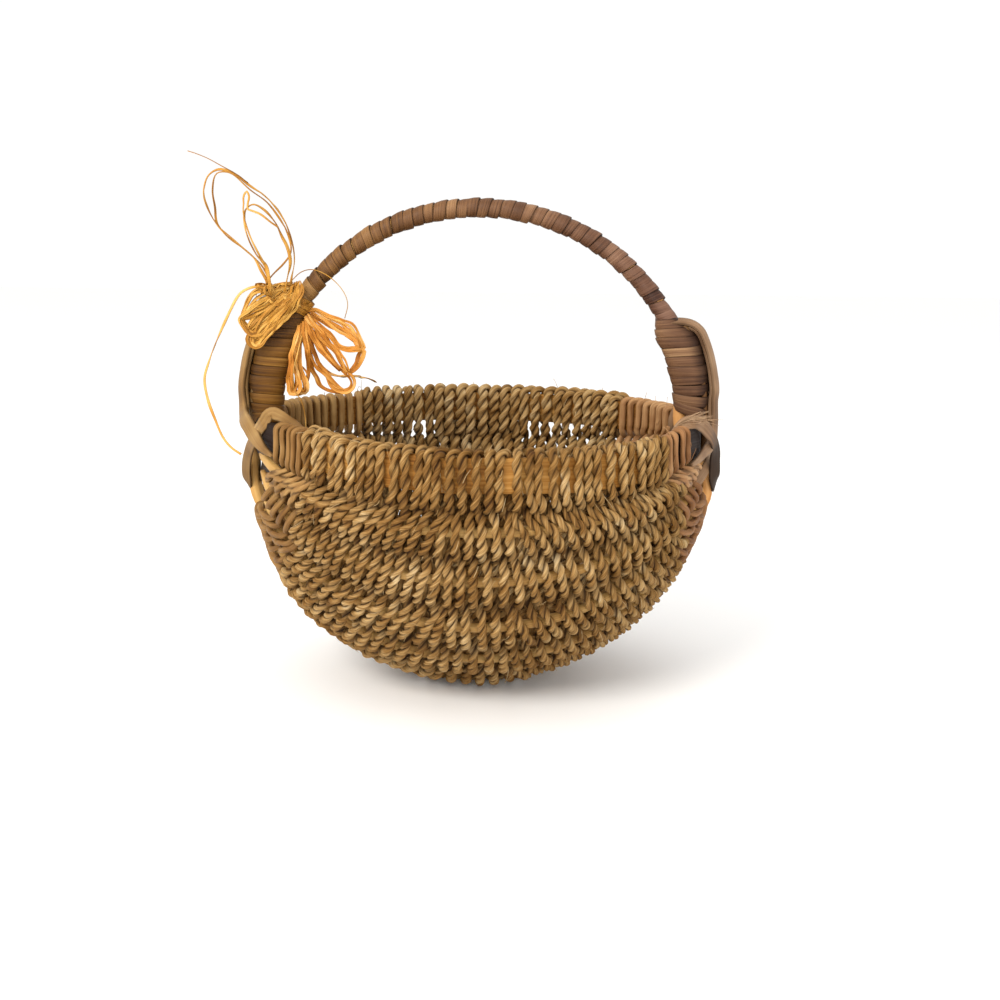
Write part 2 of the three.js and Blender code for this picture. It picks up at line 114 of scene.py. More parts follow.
class Mesh:
    """Gathers swept shells into one mesh, with a fibre coordinate, a tone and a darkening (deep) at each point, mostly
    painted shade in hollows, under parts and along edges.
    """
    def __init__(self):
        self.v, self.f, self.fib, self.tone, self.deep, self.n = [], [], [], [], [], 0

    def sweep(self, p, n, b, sec, fib=None, tone=0.5, deep=None, closed=False):
        """sec is (rings, points, 2): how far along n and along b each point of a ring lies."""
        rings, m = sec.shape[:2]
        v = p[:, None] + sec[..., :1] * n[:, None] + sec[..., 1:] * b[:, None]
        s = length_of(p)
        if fib is None:
            a = np.arange(m) / m * 2 * np.pi
            fib = np.stack(np.broadcast_arrays(np.cos(a)[None], np.sin(a)[None], s[:, None] * 0.1), -1)
        i, j = np.arange(rings if closed else rings - 1), np.arange(m)
        i0, i1 = i[:, None] * m, ((i + 1) % rings)[:, None] * m
        j0, j1 = j[None], (j + 1)[None] % m
        quads = np.stack([i0 + j0, i0 + j1, i1 + j1, i1 + j0], -1).reshape(-1, 4) + self.n
        self.f += quads.tolist()
        if not closed:
            self.f.append((self.n + j[::-1]).tolist())
            self.f.append((self.n + (rings - 1) * m + j).tolist())
        self.v.append(v.reshape(-1, 3))
        self.fib.append(np.broadcast_to(fib, (rings, m, 3)).reshape(-1, 3))
        tone = np.asarray(tone, float)
        tone = tone[:, None] if tone.ndim == 1 else tone
        self.tone.append(np.broadcast_to(tone, (rings, m)).reshape(-1))
        self.deep.append(np.broadcast_to(0.0 if deep is None else deep, (rings, m)).reshape(-1))
        self.n += rings * m

    def make(self, name, material, body, nodes=(), slot=None, sagged=True, lifted=True):
        v = np.vstack(self.v)
        if sagged:
            v = sag(v, lifted)
        v[:, 2] = np.maximum(v[:, 2], 0.05)
        me = bpy.data.meshes.new(name)
        me.from_pydata((v * MM).tolist(), [], self.f)
        for label, kind, data in (("fib", "FLOAT_VECTOR", np.vstack(self.fib)), ("tone", "FLOAT", np.concatenate(self.tone)),
                                  ("deep", "FLOAT", np.concatenate(self.deep))):
            made = me.attributes.new(label, kind, "POINT")
            made.data.foreach_set("vector" if kind == "FLOAT_VECTOR" else "value", np.ascontiguousarray(data, np.float32).ravel())
        me.polygons.foreach_set("use_smooth", np.ones(len(me.polygons), bool))
        me.materials.append(material)
        me.update()
        ob = bpy.data.objects.new(name, me)
        bpy.context.collection.objects.link(ob)
        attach(ob, body)
        if nodes:
            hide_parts(*nodes)
        return ob

def flat_section(w, t, rounding=0.35, crown=0.0):
    """A flat strip's outline: (along the normal, along the width)."""
    e = min(rounding, 0.45) * t
    hw, ht = w / 2, t / 2
    q = [(0, -hw), (ht * 0.72, -hw + e * 0.5), (ht, -hw + e * 1.8), (ht + crown, 0), (ht, hw - e * 1.8), (ht * 0.72, hw - e * 0.5),
         (0, hw), (-ht * 0.72, hw - e * 0.5), (-ht, hw - e * 1.8), (-ht, 0), (-ht, -hw + e * 1.8), (-ht * 0.72, -hw + e * 0.5)]
    return np.array(q[::-1], float)

def noise1(s, scale, seed):
    """A smooth random line over s, about -1 to 1."""
    r = np.random.RandomState(seed)
    out = np.zeros_like(s)
    for k in range(5):
        out += np.sin(s / scale * (0.6 + 0.7 * k) * 2 * np.pi + r.rand() * 6.28) * (0.62 ** k)
    return out / 1.6

# ------------------------------------------------------------------ the bowl's shape
RIM_Z, RIM_R, KEEL_X, KEEL_Z = 127.0, 110.0, 114.6, 120.0
RIB_THETA, RIB_END = [13, 26.5, 41.5, 58, 75], [66.5, 74, 77, 77, 71.5]

def bowl(phi, theta, off=0.0):
    f, t = np.radians(phi), np.radians(theta)
    ax = RIM_R + (KEEL_X - RIM_R) * np.sin(t) ** 2
    p = np.stack(np.broadcast_arrays(ax * np.sin(f), -RIM_R * np.cos(f) * np.cos(t), -KEEL_Z * np.cos(f) * np.sin(t)), -1)
    n = unit(np.stack([p[..., 0] / ax ** 2, p[..., 1] / RIM_R ** 2, p[..., 2] / KEEL_Z ** 2], -1))
    return p + np.asarray(off)[..., None] * n + np.array([0, 0, RIM_Z]), n

END_AT = [0, 7.5, 13, 26, 41.5, 58, 75, 105, 122, 138.5, 153.5, 167, 180]
END_LEFT = [57, 57.6, 61.5, 63.5, 67, 69, 71, 72.5, 72.5, 72.5, 72, 72.5, 72.5]
END_RIGHT = [62, 62.6, 69.2, 71, 70, 71, 72, 72.5, 72.5, 72.5, 72, 72.8, 73.2]

def weave_end(theta, s):
    """How far towards the ear the weave goes, in degrees, at each height."""
    return np.interp(theta, END_AT, END_LEFT if s < 0 else END_RIGHT)

LIFT_X = [-100, -90, -82, -74, -62, -55, -46, -36, -23, -14, 20, 34, 49, 57, 72, 84, 90, 95, 104]
LIFT_Z = [3.4, 3.7, 3.5, 3.9, 2.3, 1.6, 1.1, 1.0, 0.6, 0, 0, -0.7, -1.1, -0.9, -0.8, -0.4, 1.4, 2.3, 2.4]

FULL_Z = [0, 15, 28, 41, 54, 67, 80, 92, 105, 116]
FULL_LEFT = [0.09, 0.088, 0.078, 0.056, 0.038, 0.022, 0.006, 0.006, 0.002, 0]
FULL_RIGHT = [0.03, 0.045, 0.045, 0.038, 0.031, 0.027, 0.025, 0.024, 0.01, 0]

def sag(v, lifted=True):
    v = v.copy()
    v[:, 0] *= 1 + np.where(v[:, 0] < 0, np.interp(v[:, 2], FULL_Z, FULL_LEFT), np.interp(v[:, 2], FULL_Z, FULL_RIGHT))
    if lifted:
        u, w = np.clip((v[:, 2] - 99) / 24, 0, 1), np.clip((-v[:, 1] - 20) / 30, 0, 1)
        v[:, 2] += np.interp(v[:, 0], LIFT_X, LIFT_Z) * u * u * (3 - 2 * u) * w * w * (3 - 2 * w)
    front = np.clip(-v[:, 1] / RIM_R, 0, None)
    h = np.clip((v[:, 2] - (RIM_Z - 70)) / 65, 0, 1)
    v[:, 2] -= 3.2 * np.minimum(1, front ** 2) * h * h * (3 - 2 * h)
    return v

# ------------------------------------------------------------------------ materials
def lin(r, g, b, gain=1.0):
    return tuple(gain * (c / 255 / 12.92 if c <= 10 else ((c / 255 + 0.055) / 1.055) ** 2.4) for c in (r, g, b)) + (1.0,)

class Nodes:
    def __init__(self, name, **sockets):
        self.m = bpy.data.materials.new(name)
        self.m.use_nodes = True
        self.t = self.m.node_tree
        self.t.nodes.clear()
        self.out = self.add("ShaderNodeOutputMaterial")
        self.bsdf = self.add("ShaderNodeBsdfPrincipled")
        self.link(self.bsdf.outputs[0], self.out.inputs[0])
        for k, v in sockets.items():
            self.bsdf.inputs[k.replace("_", " ")].default_value = v

    def add(self, kind, **props):
        n = self.t.nodes.new(kind)
        for k, v in props.items():
            setattr(n, k, v)
        return n

    def link(self, a, b):
        self.t.links.new(a, b)

    def attr(self, name, out="Fac"):
        return self.add("ShaderNodeAttribute", attribute_name=name).outputs[out]

    def scaled(self, vec, x, y, z, shift=(0, 0, 0)):
        n = self.add("ShaderNodeMapping")
        n.inputs["Scale"].default_value = (x, y, z)
        n.inputs["Location"].default_value = shift
        self.link(vec, n.inputs["Vector"])
        return n.outputs[0]

    def coords(self):
        return self.add("ShaderNodeTexCoord").outputs["Object"]

    def noise(self, vec, scale, detail=3.0, rough=0.55):
        n = self.add("ShaderNodeTexNoise")
        n.inputs["Scale"].default_value, n.inputs["Detail"].default_value, n.inputs["Roughness"].default_value = scale, detail, rough
        self.link(vec, n.inputs["Vector"])
        return n.outputs["Fac"]

    def ramp(self, fac, stops):
        n = self.add("ShaderNodeValToRGB")
        e = n.color_ramp.elements
        while len(e) < len(stops):
            e.new(0.5)
        for k, (pos, col) in zip(e, stops):
            k.position, k.color = pos, col
        self.link(fac, n.inputs[0])
        return n.outputs[0]

    def math(self, op, a, b=None, clamp=False):
        n = self.add("ShaderNodeMath", operation=op, use_clamp=clamp)
        for i, x in enumerate((a, b)):
            if x is None:
                continue
            if isinstance(x, (int, float)):
                n.inputs[i].default_value = x
            else:
                self.link(x, n.inputs[i])
        return n.outputs[0]

    def remap(self, x, a, b, c, d):
        n = self.add("ShaderNodeMapRange")
        for i, v in enumerate((a, b, c, d)):
            n.inputs[i + 1].default_value = v
        self.link(x, n.inputs[0])
        return n.outputs[0]

    def mix(self, fac, a, b, blend="MIX"):
        n = self.add("ShaderNodeMix", data_type="RGBA", blend_type=blend)
        ins = [i for i in n.inputs if i.type == "RGBA"]
        facs = [i for i in n.inputs if i.type == "VALUE"]
        if isinstance(fac, (int, float)):
            facs[0].default_value = fac
        else:
            self.link(fac, facs[0])
        for s, x in zip(ins, (a, b)):
            if isinstance(x, tuple):
                s.default_value = x
            else:
                self.link(x, s)
        return [o for o in n.outputs if o.type == "RGBA"][0]

    def bump(self, height, strength, distance):
        n = self.add("ShaderNodeBump")
        n.inputs["Strength"].default_value, n.inputs["Distance"].default_value = strength, distance
        self.link(height, n.inputs["Height"])
        self.link(n.outputs[0], self.bsdf.inputs["Normal"])

    def base(self, colour):
        self.link(colour, self.bsdf.inputs["Base Color"])

    def rough(self, value):
        self.link(value, self.bsdf.inputs["Roughness"])

def fibre_look(name, stops, streak, patch, dark, deep_to, bump, rough=(0.55, 0.85), streak_mix=0.55, spread=(0.2, 0.7), right=None, **sockets):
    """Fibres that run along the piece: streaks, broad patches of tone, and painted shade in hollows where the deep
    attribute is set.
    """
    k = Nodes(name, **sockets)
    fib, pos = k.attr("fib", "Vector"), k.coords()
    fine = k.noise(k.scaled(fib, *streak), 1.0, 4.0, 0.62)
    broad = k.noise(pos, patch, 3.0, 0.6)
    tone = k.attr("tone")
    mixed = k.math("ADD", k.math("MULTIPLY", fine, streak_mix), k.math("MULTIPLY", broad, 0.9 - streak_mix))
    mixed = k.math("ADD", mixed, k.math("MULTIPLY", k.math("SUBTRACT", tone, 0.5), 0.42))
    mixed = k.remap(mixed, spread[0], spread[1], 0.0, 1.0)
    col = k.ramp(mixed, stops)
    # painted light: the right-hand side of the basket, by X, gets its own ramp, the colour as the light falls on that
    # side
    if right:
        sep = k.add("ShaderNodeSeparateXYZ")
        k.link(pos, sep.inputs[0])
        col = k.mix(k.remap(sep.outputs[0], -0.09, 0.1, 0.0, 1.0), col, k.ramp(mixed, right))
    # painted shade: the colour is pulled towards dark where deep is set
    col = k.mix(k.math("MULTIPLY", k.attr("deep"), deep_to, clamp=True), col, dark)
    k.base(col)
    k.rough(k.remap(fine, 0.3, 0.7, rough[0], rough[1]))
    k.bump(fine, bump[0], bump[1])
    return k.m

def stops(gain, *cols):
    at = (0.0, 0.36, 0.66, 1.0)
    return [(a, lin(*c, gain)) for a, c in zip(at, cols)]

SEAGRASS = fibre_look("seagrass", stops(0.84, (84, 50, 12), (144, 104, 52), (188, 151, 97), (228, 203, 158)),
                      (2.3, 2.3, 1.3), 46, lin(48, 24, 2, 0.7), 0.95, (0.8, 0.0006), streak_mix=0.62, spread=(0.24, 0.68), Specular_IOR_Level=0.14)
# right= is painted light: the colour on the basket's right side as the light falls there
REED = fibre_look("reed", stops(0.74, (84, 50, 16), (136, 96, 49), (163, 122, 70), (194, 155, 98)),
                  (3.4, 3.4, 0.35), 40, lin(54, 30, 8, 0.7), 0.85, (0.4, 0.0003), rough=(0.45, 0.72),
                  right=stops(0.82, (86, 50, 26), (140, 95, 57), (168, 122, 80), (198, 155, 108)), Specular_IOR_Level=0.14)
# right= is painted light: the colour on the basket's right side as the light falls there
CANE = fibre_look("cane", stops(0.7, (70, 42, 14), (116, 77, 35), (146, 103, 52), (180, 136, 80)),
                  (4.5, 4.5, 0.25), 38, lin(36, 20, 8, 0.7), 0.9, (0.4, 0.0003), rough=(0.42, 0.7), spread=(0.24, 0.68),
                  right=stops(0.66, (66, 40, 30), (110, 75, 58), (138, 101, 82), (172, 134, 112)), Specular_IOR_Level=0.22)
# right= is painted light: the colour on the basket's right side as the light falls there
SPLINT = fibre_look("splint", stops(0.82, (92, 63, 26), (138, 102, 56), (162, 127, 77), (192, 157, 104)),
                    (2.6, 2.6, 0.16), 34, lin(34, 16, 8, 0.6), 0.95, (0.4, 0.0003), rough=(0.45, 0.72), streak_mix=0.5,
                    right=stops(0.8, (92, 62, 38), (140, 106, 76), (166, 132, 100), (196, 163, 128)), Specular_IOR_Level=0.16)
RIM_WOOD = fibre_look("rim_wood", stops(0.78, (104, 60, 16), (158, 104, 42), (186, 131, 62), (214, 164, 92)),
                      (5.5, 5.5, 0.14), 22, lin(40, 18, 3, 0.5), 1.0, (0.5, 0.0004), rough=(0.5, 0.75), streak_mix=0.66, spread=(0.26, 0.66), Specular_IOR_Level=0.12)
# right= is painted light: the colour on the basket's right side as the light falls there
PALE_WOOD = fibre_look("pale_wood", stops(0.84, (158, 112, 54), (200, 152, 86), (220, 178, 108), (234, 198, 134)),
                       (3.5, 3.5, 0.16), 24, lin(50, 28, 10, 0.7), 0.9, (0.3, 0.0003), rough=(0.45, 0.7),
                       right=stops(0.88, (156, 98, 46), (204, 142, 80), (226, 168, 104), (240, 194, 136)), Specular_IOR_Level=0.2)
RIB = fibre_look("rib_reed", stops(0.8, (136, 94, 42), (182, 136, 72), (206, 162, 95), (226, 187, 120)),
                 (3.5, 3.5, 0.2), 30, lin(60, 35, 12, 0.7), 0.9, (0.3, 0.0003), rough=(0.45, 0.7), Specular_IOR_Level=0.2)
RAFFIA = fibre_look("raffia", stops(0.86, (116, 72, 14), (176, 118, 38), (206, 150, 62), (230, 186, 106)),
                    (4.2, 4.2, 0.14), 34, lin(96, 54, 10, 0.8), 0.9, (0.5, 0.0003), rough=(0.45, 0.7), streak_mix=0.6, Specular_IOR_Level=0.22)
RAFFIA_DEEP = fibre_look("raffia_orange", stops(0.95, (136, 76, 14), (192, 120, 38), (220, 154, 68), (242, 194, 122)),
                         (4.2, 4.2, 0.14), 34, lin(112, 54, 6, 0.8), 0.9, (0.5, 0.0003), rough=(0.45, 0.7), streak_mix=0.6, Specular_IOR_Level=0.22)
# painted reflection: the left leg's cane is warmer, for the warm light the raffia throws on it
CANE_LEFT_WARM_LIGHT = fibre_look("cane_left_warm_light", stops(0.72, (64, 36, 6), (110, 70, 20), (140, 95, 36), (172, 127, 60)),
                       (4.5, 4.5, 0.25), 38, lin(34, 18, 3, 0.7), 0.9, (0.45, 0.0003), rough=(0.45, 0.72), streak_mix=0.62, spread=(0.24, 0.68), Specular_IOR_Level=0.18)

# painted shade: the right leg's cane, in the cooler purple-brown of the shade on that side
CANE_RIGHT_SHADED = fibre_look("cane_right_shaded", stops(0.64, (70, 42, 28), (118, 82, 58), (150, 110, 78), (186, 146, 106)),
                      (4.5, 4.5, 0.25), 38, lin(36, 20, 12, 0.7), 0.9, (0.45, 0.0003), rough=(0.45, 0.72), streak_mix=0.62, spread=(0.24, 0.68), Specular_IOR_Level=0.18)

# --------------------------------------------------------------------- raffia cords
TIE_A = math.radians(180 - 36.5)
TIE_AT = np.array([109 * math.cos(TIE_A), 0, 130.6 + 109 * math.sin(TIE_A)])
TIE_AXIS = np.array([math.sin(math.radians(36.5)), 0, math.cos(math.radians(36.5))])
TIE_OUT = np.array([-math.cos(math.radians(36.5)), 0, math.sin(math.radians(36.5))])

def split(m, p, n, b, s, w, count, thick, seed, tone):
    """A ribbon w wide that has split along its length into finer ones, which lie beside and over each other."""
    for i in range(count):
        k = seed + 101 * i
        one = w / count * (1.3 + 0.25 * noise1(s, 19, k + 4)) if count > 1 else w
        side = (-0.5 + (i + 0.5) / count) * w * (1 + 0.25 * noise1(s, 28, k + 5)) + (0.12 * w * noise1(s, 21, k + 6) if count > 1 else 0)
        lift = 0.28 * noise1(s, 17, k + 7) if count > 1 else 0 * s
        a = 0.55 * noise1(s, 16, k + 8) if count > 1 else 0 * s
        ca, sa = np.cos(a)[:, None], np.sin(a)[:, None]
        q, nn, bb = p + b * side[:, None] + n * lift[:, None], n * ca + b * sa, b * ca - n * sa
        sec = flat_section(1.0, 1.0, 0.055)[None] * np.stack([np.full_like(s, thick), one], 1)[:, None]
        # the ribbon is folded a little along its middle
        sec[..., 0] += (np.abs(sec[..., 1]) - 0.25 * one[:, None]) * 0.35 * (1 + 0.6 * noise1(s, 20, k + 3))[:, None]
        across = sec[..., 1] / np.maximum(one, 0.1)[:, None]
        fib = np.stack(np.broadcast_arrays(across * 0.8, sec[..., 0] * 0.1 + 0.37 * k, s[:, None] * 0.1), -1)
        # painted shade along each ribbon's edges
        m.sweep(q, nn, bb, sec, fib=fib, tone=tone + 0.28 * noise1(s, 25, k + 2) + 0.25 * (np.random.RandomState(k % 9973).rand() - 0.5),
                deep=np.clip((np.abs(across) - 0.4) * 5, 0, 0.5))

def raffia(name, points, width, seed, nodes=(), look=None, thick=0.42, step=1.3, twist=1.0, body="raffia_tie", tone=0.5, face=None):
    """One strand of raffia: a thin ribbon that turns about itself along its line."""
    p = smooth(points, step)
    s = length_of(p)
    u = s / s[-1]
    t, n, b = frames(p, None if face is None else np.broadcast_to(np.array(face, float), p.shape))
    a = 0.9 * twist * noise1(s, 46, seed) + (np.random.RandomState(seed).rand() * 3 if face is None else 0)
    ca, sa = np.cos(a)[:, None], np.sin(a)[:, None]
    n, b = n * ca + b * sa, b * ca - n * sa
    w = width * (0.86 + 0.14 * noise1(s, 30, seed + 1))
    if face is not None:
        w = w * (0.62 + 0.38 * np.sin(np.pi * np.clip(u * 1.15, 0, 1)))
    w = np.clip(w, 0.45 * width, width)
    m = Mesh()
    split(m, p, n, b, s, w, max(1, int(round(width / 1.5))), thick, seed, tone)
    ob = m.make(name, look or RAFFIA, body, nodes, "raffia")
    return ob

TALL_LOOP = [[-106.4, -13.4, 196.6], [-104.4, -14.5, 202], [-107.6, -14.5, 208.8], [-110.5, -14.5, 214], [-116, -15, 219], [-123.3, -16, 224.6], [-129.7, -17, 233],
             [-133.6, -17, 242.4], [-133.4, -17, 248.2], [-131.2, -17, 253.4], [-126, -17, 256.2], [-118, -16.5, 253.6],
             [-112, -16, 249], [-104.6, -15, 243.8], [-98.1, -14, 236.5], [-94.2, -13, 229], [-91.8, -12, 220.3], [-91.2, -12, 212.5], [-92.6, -12, 204.6], [-93.6, -12.4, 197.6]]
SECOND_LOOP = [[-104.2, -15.2, 197.4], [-103.4, -16, 203], [-106, -16, 209.5], [-110.4, -16, 214.6], [-119, -16.4, 222.1], [-127.6, -16.6, 230.2], [-128.4, -17.4, 237.8],
               [-129.2, -18.6, 246.4], [-127.2, -18.4, 254], [-121, -18, 254.6], [-111, -17.2, 246.4], [-103.4, -16.4, 240.8], [-97.2, -15.4, 232.6],
               [-93.4, -14.4, 224.6], [-92.6, -14, 217], [-96.2, -14.4, 211.4], [-101.4, -15, 206.2], [-104.6, -15.2, 202], [-107.4, -14.6, 197.6]]
INNER_LOOP = [[-102.4, -16.6, 197], [-102.8, -18.3, 203], [-104.4, -18.5, 210.6], [-108.2, -20, 215.5], [-112, -20.5, 223], [-114, -20.5, 231.5], [-113.4, -20.5, 237],
              [-109.6, -20.5, 239.8], [-104.6, -20.5, 237.6], [-99.6, -20, 232], [-96.6, -19, 226], [-93.6, -18.2, 219.4], [-92.4, -17.2, 212], [-94.2, -16.6, 204.6], [-95.6, -15.8, 197.8]]
SMALL_LOOP = [[-104.8, -19.4, 211.6], [-110, -21.5, 222], [-113.2, -22, 231], [-114.2, -22, 237], [-113.9, -22, 240], [-113.9, -22, 243.4], [-112.3, -22, 245.9],
              [-111.2, -22, 243.4], [-111.9, -22, 240], [-111.8, -22, 237.4], [-110, -22, 236.8], [-106, -22, 235.2], [-101, -21.6, 231.4], [-97.6, -20.8, 229]]
TAIL = [[-105, -13.6, 199.8], [-110.2, -14, 200.2], [-114.4, -14.2, 199], [-117.9, -14.2, 196.6], [-123, -14.6, 187.9], [-128.9, -15, 175.2], [-133.5, -18, 162.6],
        [-134.9, -21, 155.4], [-132.8, -24.5, 145.4], [-128.8, -28, 135.7], [-124.7, -31, 127.2], [-120.6, -33.5, 122.5], [-115.4, -36, 119.2]]
DROP = [[-88.6, -6.5, 176], [-90.4, -8.8, 168], [-92.8, -9.2, 158.7], [-92.3, -8.8, 148.4], [-89.8, -8.4, 144.9], [-88.1, -8.2, 140.4], [-87.1, -9, 135], [-86.8, -10, 130]]
HAIR = [[-93, -9, 203.2], [-88.3, -8.6, 207.4], [-82.8, -8, 208.6], [-74.4, -7.4, 205], [-67.6, -6.6, 197.6], [-65.8, -5.8, 191.6], [-67.4, -5, 184.6]]
TOP_HAIR = [[-112.4, -16.4, 250], [-118.6, -16.9, 254.4], [-124.6, -17.2, 257.6], [-131, -17.2, 261], [-137, -17, 263.4], [-141, -16.8, 264.6]]

def closer(points, dy=4.2):
    """Along the line of sight to the handle, so that the hank lies against it where it is tied and stands off it further out."""
    eye, p = np.array([0, -750.0, 235.0]), np.array(points, float)
    u = np.clip((p[:, 0] + 115) / 17, 0, 1)
    k = 1 + dy * u * u * (3 - 2 * u) / (p[:, 1] - eye[1])
    return eye + (p - eye) * k[:, None]

raffia("raffia_tall_loop_outer", closer(TALL_LOOP), 1.7, 11, nodes=("raffia_tall_loop",), tone=0.6)
raffia("raffia_tall_loop_second", closer(SECOND_LOOP), 1.3, 21, tone=0.45)
raffia("raffia_inner_loop_main", closer(INNER_LOOP), 2.2, 31, nodes=("raffia_inner_loop",), tone=0.6)
raffia("raffia_inner_loop_small", closer(SMALL_LOOP), 1.1, 41, tone=0.7)
raffia("raffia_tail_strand", TAIL, 1.5, 51, nodes=("raffia_tail",), tone=0.75)
raffia("raffia_hair_arch", HAIR, 0.5, 61, thick=0.3, tone=0.4)
raffia("raffia_hair_drop", DROP, 0.5, 75, thick=0.3, tone=0.7)
raffia("raffia_hair_top", closer(TOP_HAIR), 0.45, 71, thick=0.3, tone=0.2)

# the fan that hangs inside the handle: ribbons that run out from the tie, and most of them back again
FAN = {
    "upper": (3.2, 0.6, [[-86.9, -3, 188.1], [-83, -1, 188.7], [-78.6, 0, 186.6], [-74.1, 1, 184.3], [-69.2, 2, 182.5], [-65.1, 2, 180.9], [-62, 2, 176.7], [-59.5, 2, 171.7],
              [-59.3, 2.5, 168.9], [-62.2, 4, 171.5], [-66.3, 4, 175.1], [-71.3, 4, 178.2], [-76.7, 3, 180.8], [-81.6, 2, 183.7], [-85.9, 0, 186.1]]),
    "middle": (3.4, 0.5, [[-86.4, -3, 185.8], [-82, -2, 182.2], [-77.7, -1, 178.1], [-74.1, 0, 174.4], [-71, 0.5, 170.3], [-67, 1, 168.7], [-62, 1.5, 168.5], [-59.4, 2.5, 168.2],
               [-60.2, 3.5, 165.1], [-61.3, 3.5, 161.4], [-63.5, 3, 158.7], [-66.3, 2.5, 156.8], [-69, 2, 160.1], [-71.6, 1.5, 165.6], [-74.3, 1.5, 170.2], [-77.9, 1, 174.7],
               [-81.4, 0.5, 179.3], [-86.3, 0, 184.7]]),
    "lower": (2.8, 0.5, [[-86.9, -3, 184.5], [-84.4, -2, 178.5], [-81.3, -1, 173.9], [-77.8, 0, 168.9], [-74.8, 1, 163.8], [-71.2, 1, 159.7], [-68, 1, 157], [-65.1, 1, 154.7],
              [-63.9, 1.5, 151.9], [-65.3, 2, 148.6], [-68.7, 2.5, 147], [-72.3, 2.5, 148], [-75.5, 2.5, 150.7], [-77.3, 2.5, 154.9], [-80.4, 2, 159.5], [-82.6, 1.5, 164.6],
              [-83.9, 1, 169.2], [-85.6, 0.5, 174.7], [-88.2, 0, 182]]),
    "to_rim": (2.4, 0.95, [[-87.9, -2, 183], [-86.4, 0, 177.5], [-84.9, 2, 171.8], [-84.3, 4, 166.6], [-82.2, 6, 162.3], [-79.7, 8, 158.4], [-75.9, 11, 155.2], [-71.6, 15, 153.6],
               [-66.9, 20, 153.4], [-64.1, 26, 152.5], [-61.3, 33, 151.1], [-57.6, 41, 149.2], [-55.8, 46.5, 147.4]]),
    "pointed": (2.6, 0.4, [[-89.3, -2, 182.1], [-89.4, -2, 177.6], [-87.7, -1, 171.6], [-86.1, 0, 165.6], [-85.6, 1, 160.9], [-85, 2, 158.1], [-82.9, 3, 154.3], [-80.8, 4, 150],
                [-77.6, 4, 148], [-72.9, 4, 146.8], [-68.3, 4, 146.4]]),
    "beside": (3.4, 0.45, [[-89.7, -3, 181.7], [-90.9, -4, 177.7], [-92, -5, 173.2], [-92.8, -5, 168.7], [-93.4, -5, 164.1], [-93.2, -5, 159.6], [-93, -5, 155], [-93, -5, 150.5],
               [-92.4, -5, 147], [-89.6, -3.5, 147], [-87.4, -2.5, 148.9], [-87.8, -2.5, 152.5], [-89.6, -2.5, 157.1], [-90.8, -2.5, 161.2], [-91.4, -2.5, 165.8], [-91.4, -2, 170.3],
               [-90.6, -1, 176.6], [-89.1, 0, 182.4]]),
    "beside_2": (3.2, 0.55, [[-90, -5, 181.3], [-91.6, -7, 174.2], [-93, -7.6, 169.3], [-94, -8, 166.1], [-94, -8, 162.1], [-94.6, -8, 157.5], [-95.4, -8, 154.8], [-94.9, -8, 151.6],
                 [-94.4, -8, 147.7], [-92, -7, 147.9], [-90.6, -6.5, 151.5], [-91.3, -6, 156], [-92, -5.5, 160.5], [-92.2, -5, 165], [-91.8, -4, 170.3], [-90.5, -3, 178]]),
    "beside_3": (3.0, 0.6, [[-89.4, -4, 182], [-90.6, -5.6, 175], [-91.6, -6.4, 168], [-92.2, -6.8, 161], [-91.2, -6.8, 155], [-90, -6.6, 150.4], [-88.6, -6, 147.4], [-87, -5, 148.4],
                 [-87.6, -4.6, 152.6], [-89.2, -4.4, 157], [-90.2, -4, 163], [-90, -3.4, 170], [-89, -2.6, 178]]),
    "thin_loop": (1.0, 0.2, [[-90.4, -1, 180.2], [-91.4, -1.5, 173.9], [-92, -2, 164.8], [-90.5, -2, 161.2], [-87.8, -2, 158.4], [-86.4, -2, 155.2], [-87, -2, 152], [-88.6, -1, 153.3],
                  [-89.5, -1, 156.9], [-90.4, -0.5, 159.9], [-91, 0, 163.7], [-91.2, 0, 168.3], [-90.6, 0.5, 174.6]]),
    "leaf": (4.4, 0.55, [[-86.7, -4.5, 185.9], [-83.3, -3.5, 181.4], [-79.8, -2.5, 176.8], [-76.3, -1.5, 171.8], [-73.2, -1, 168.6], [-70.1, -0.5, 164.4], [-67.4, 0, 159.8], [-65.9, 1, 157]]),
    "leaf_2": (4.4, 0.6, [[-86.2, -1, 188.9], [-81.4, 0.5, 185.9], [-76.9, 1.5, 183.1], [-72.5, 2.5, 180.8], [-68, 3, 177.9], [-63.9, 3, 174.3], [-60.3, 3, 170.6], [-59.3, 3, 169.3]]),
    "leaf_3": (3.4, 0.4, [[-87.2, -4, 184.1], [-85.5, -4, 179.6], [-83.4, -3, 175], [-81.3, -2, 171.3], [-78.6, -1.5, 167.6], [-75.5, -1, 164], [-72.4, -0.5, 160.3], [-70.2, 0, 158]]),
    "leaf_4": (3.4, 0.5, [[-88.7, -3.5, 182.7], [-87.8, -3.5, 178.2], [-86.1, -3, 173.1], [-84.9, -2, 168.5], [-83.7, -1, 164.8], [-81.6, 0, 160.1], [-78.1, 1, 156.9], [-74.5, 2, 152.6],
               [-71.4, 2.5, 149.4], [-68.7, 3, 147.5]]),
    "leaf_5": (3.0, 0.35, [[-87.6, -4.5, 183], [-87.4, -5, 178], [-87, -5, 173], [-86.6, -4.4, 168.4], [-86.2, -3, 164], [-86.2, -2, 160.6], [-86.2, -1.4, 156.6], [-87, -1.2, 152], [-88, -1.4, 149]])}
for i, (key, (width, tone, points)) in enumerate(FAN.items()):
    raffia("raffia_fan_" + key, points, width, 80 + 7 * i, nodes=("raffia_fan",) if key == "leaf" else (), look=RAFFIA_DEEP, tone=tone,
           face=(0.1, -0.5, 0.85) if key == "to_rim" else (0.2, -1.0, 0.1), twist=0.1 if key == "to_rim" else 0.5 if width > 2 else 1.0)

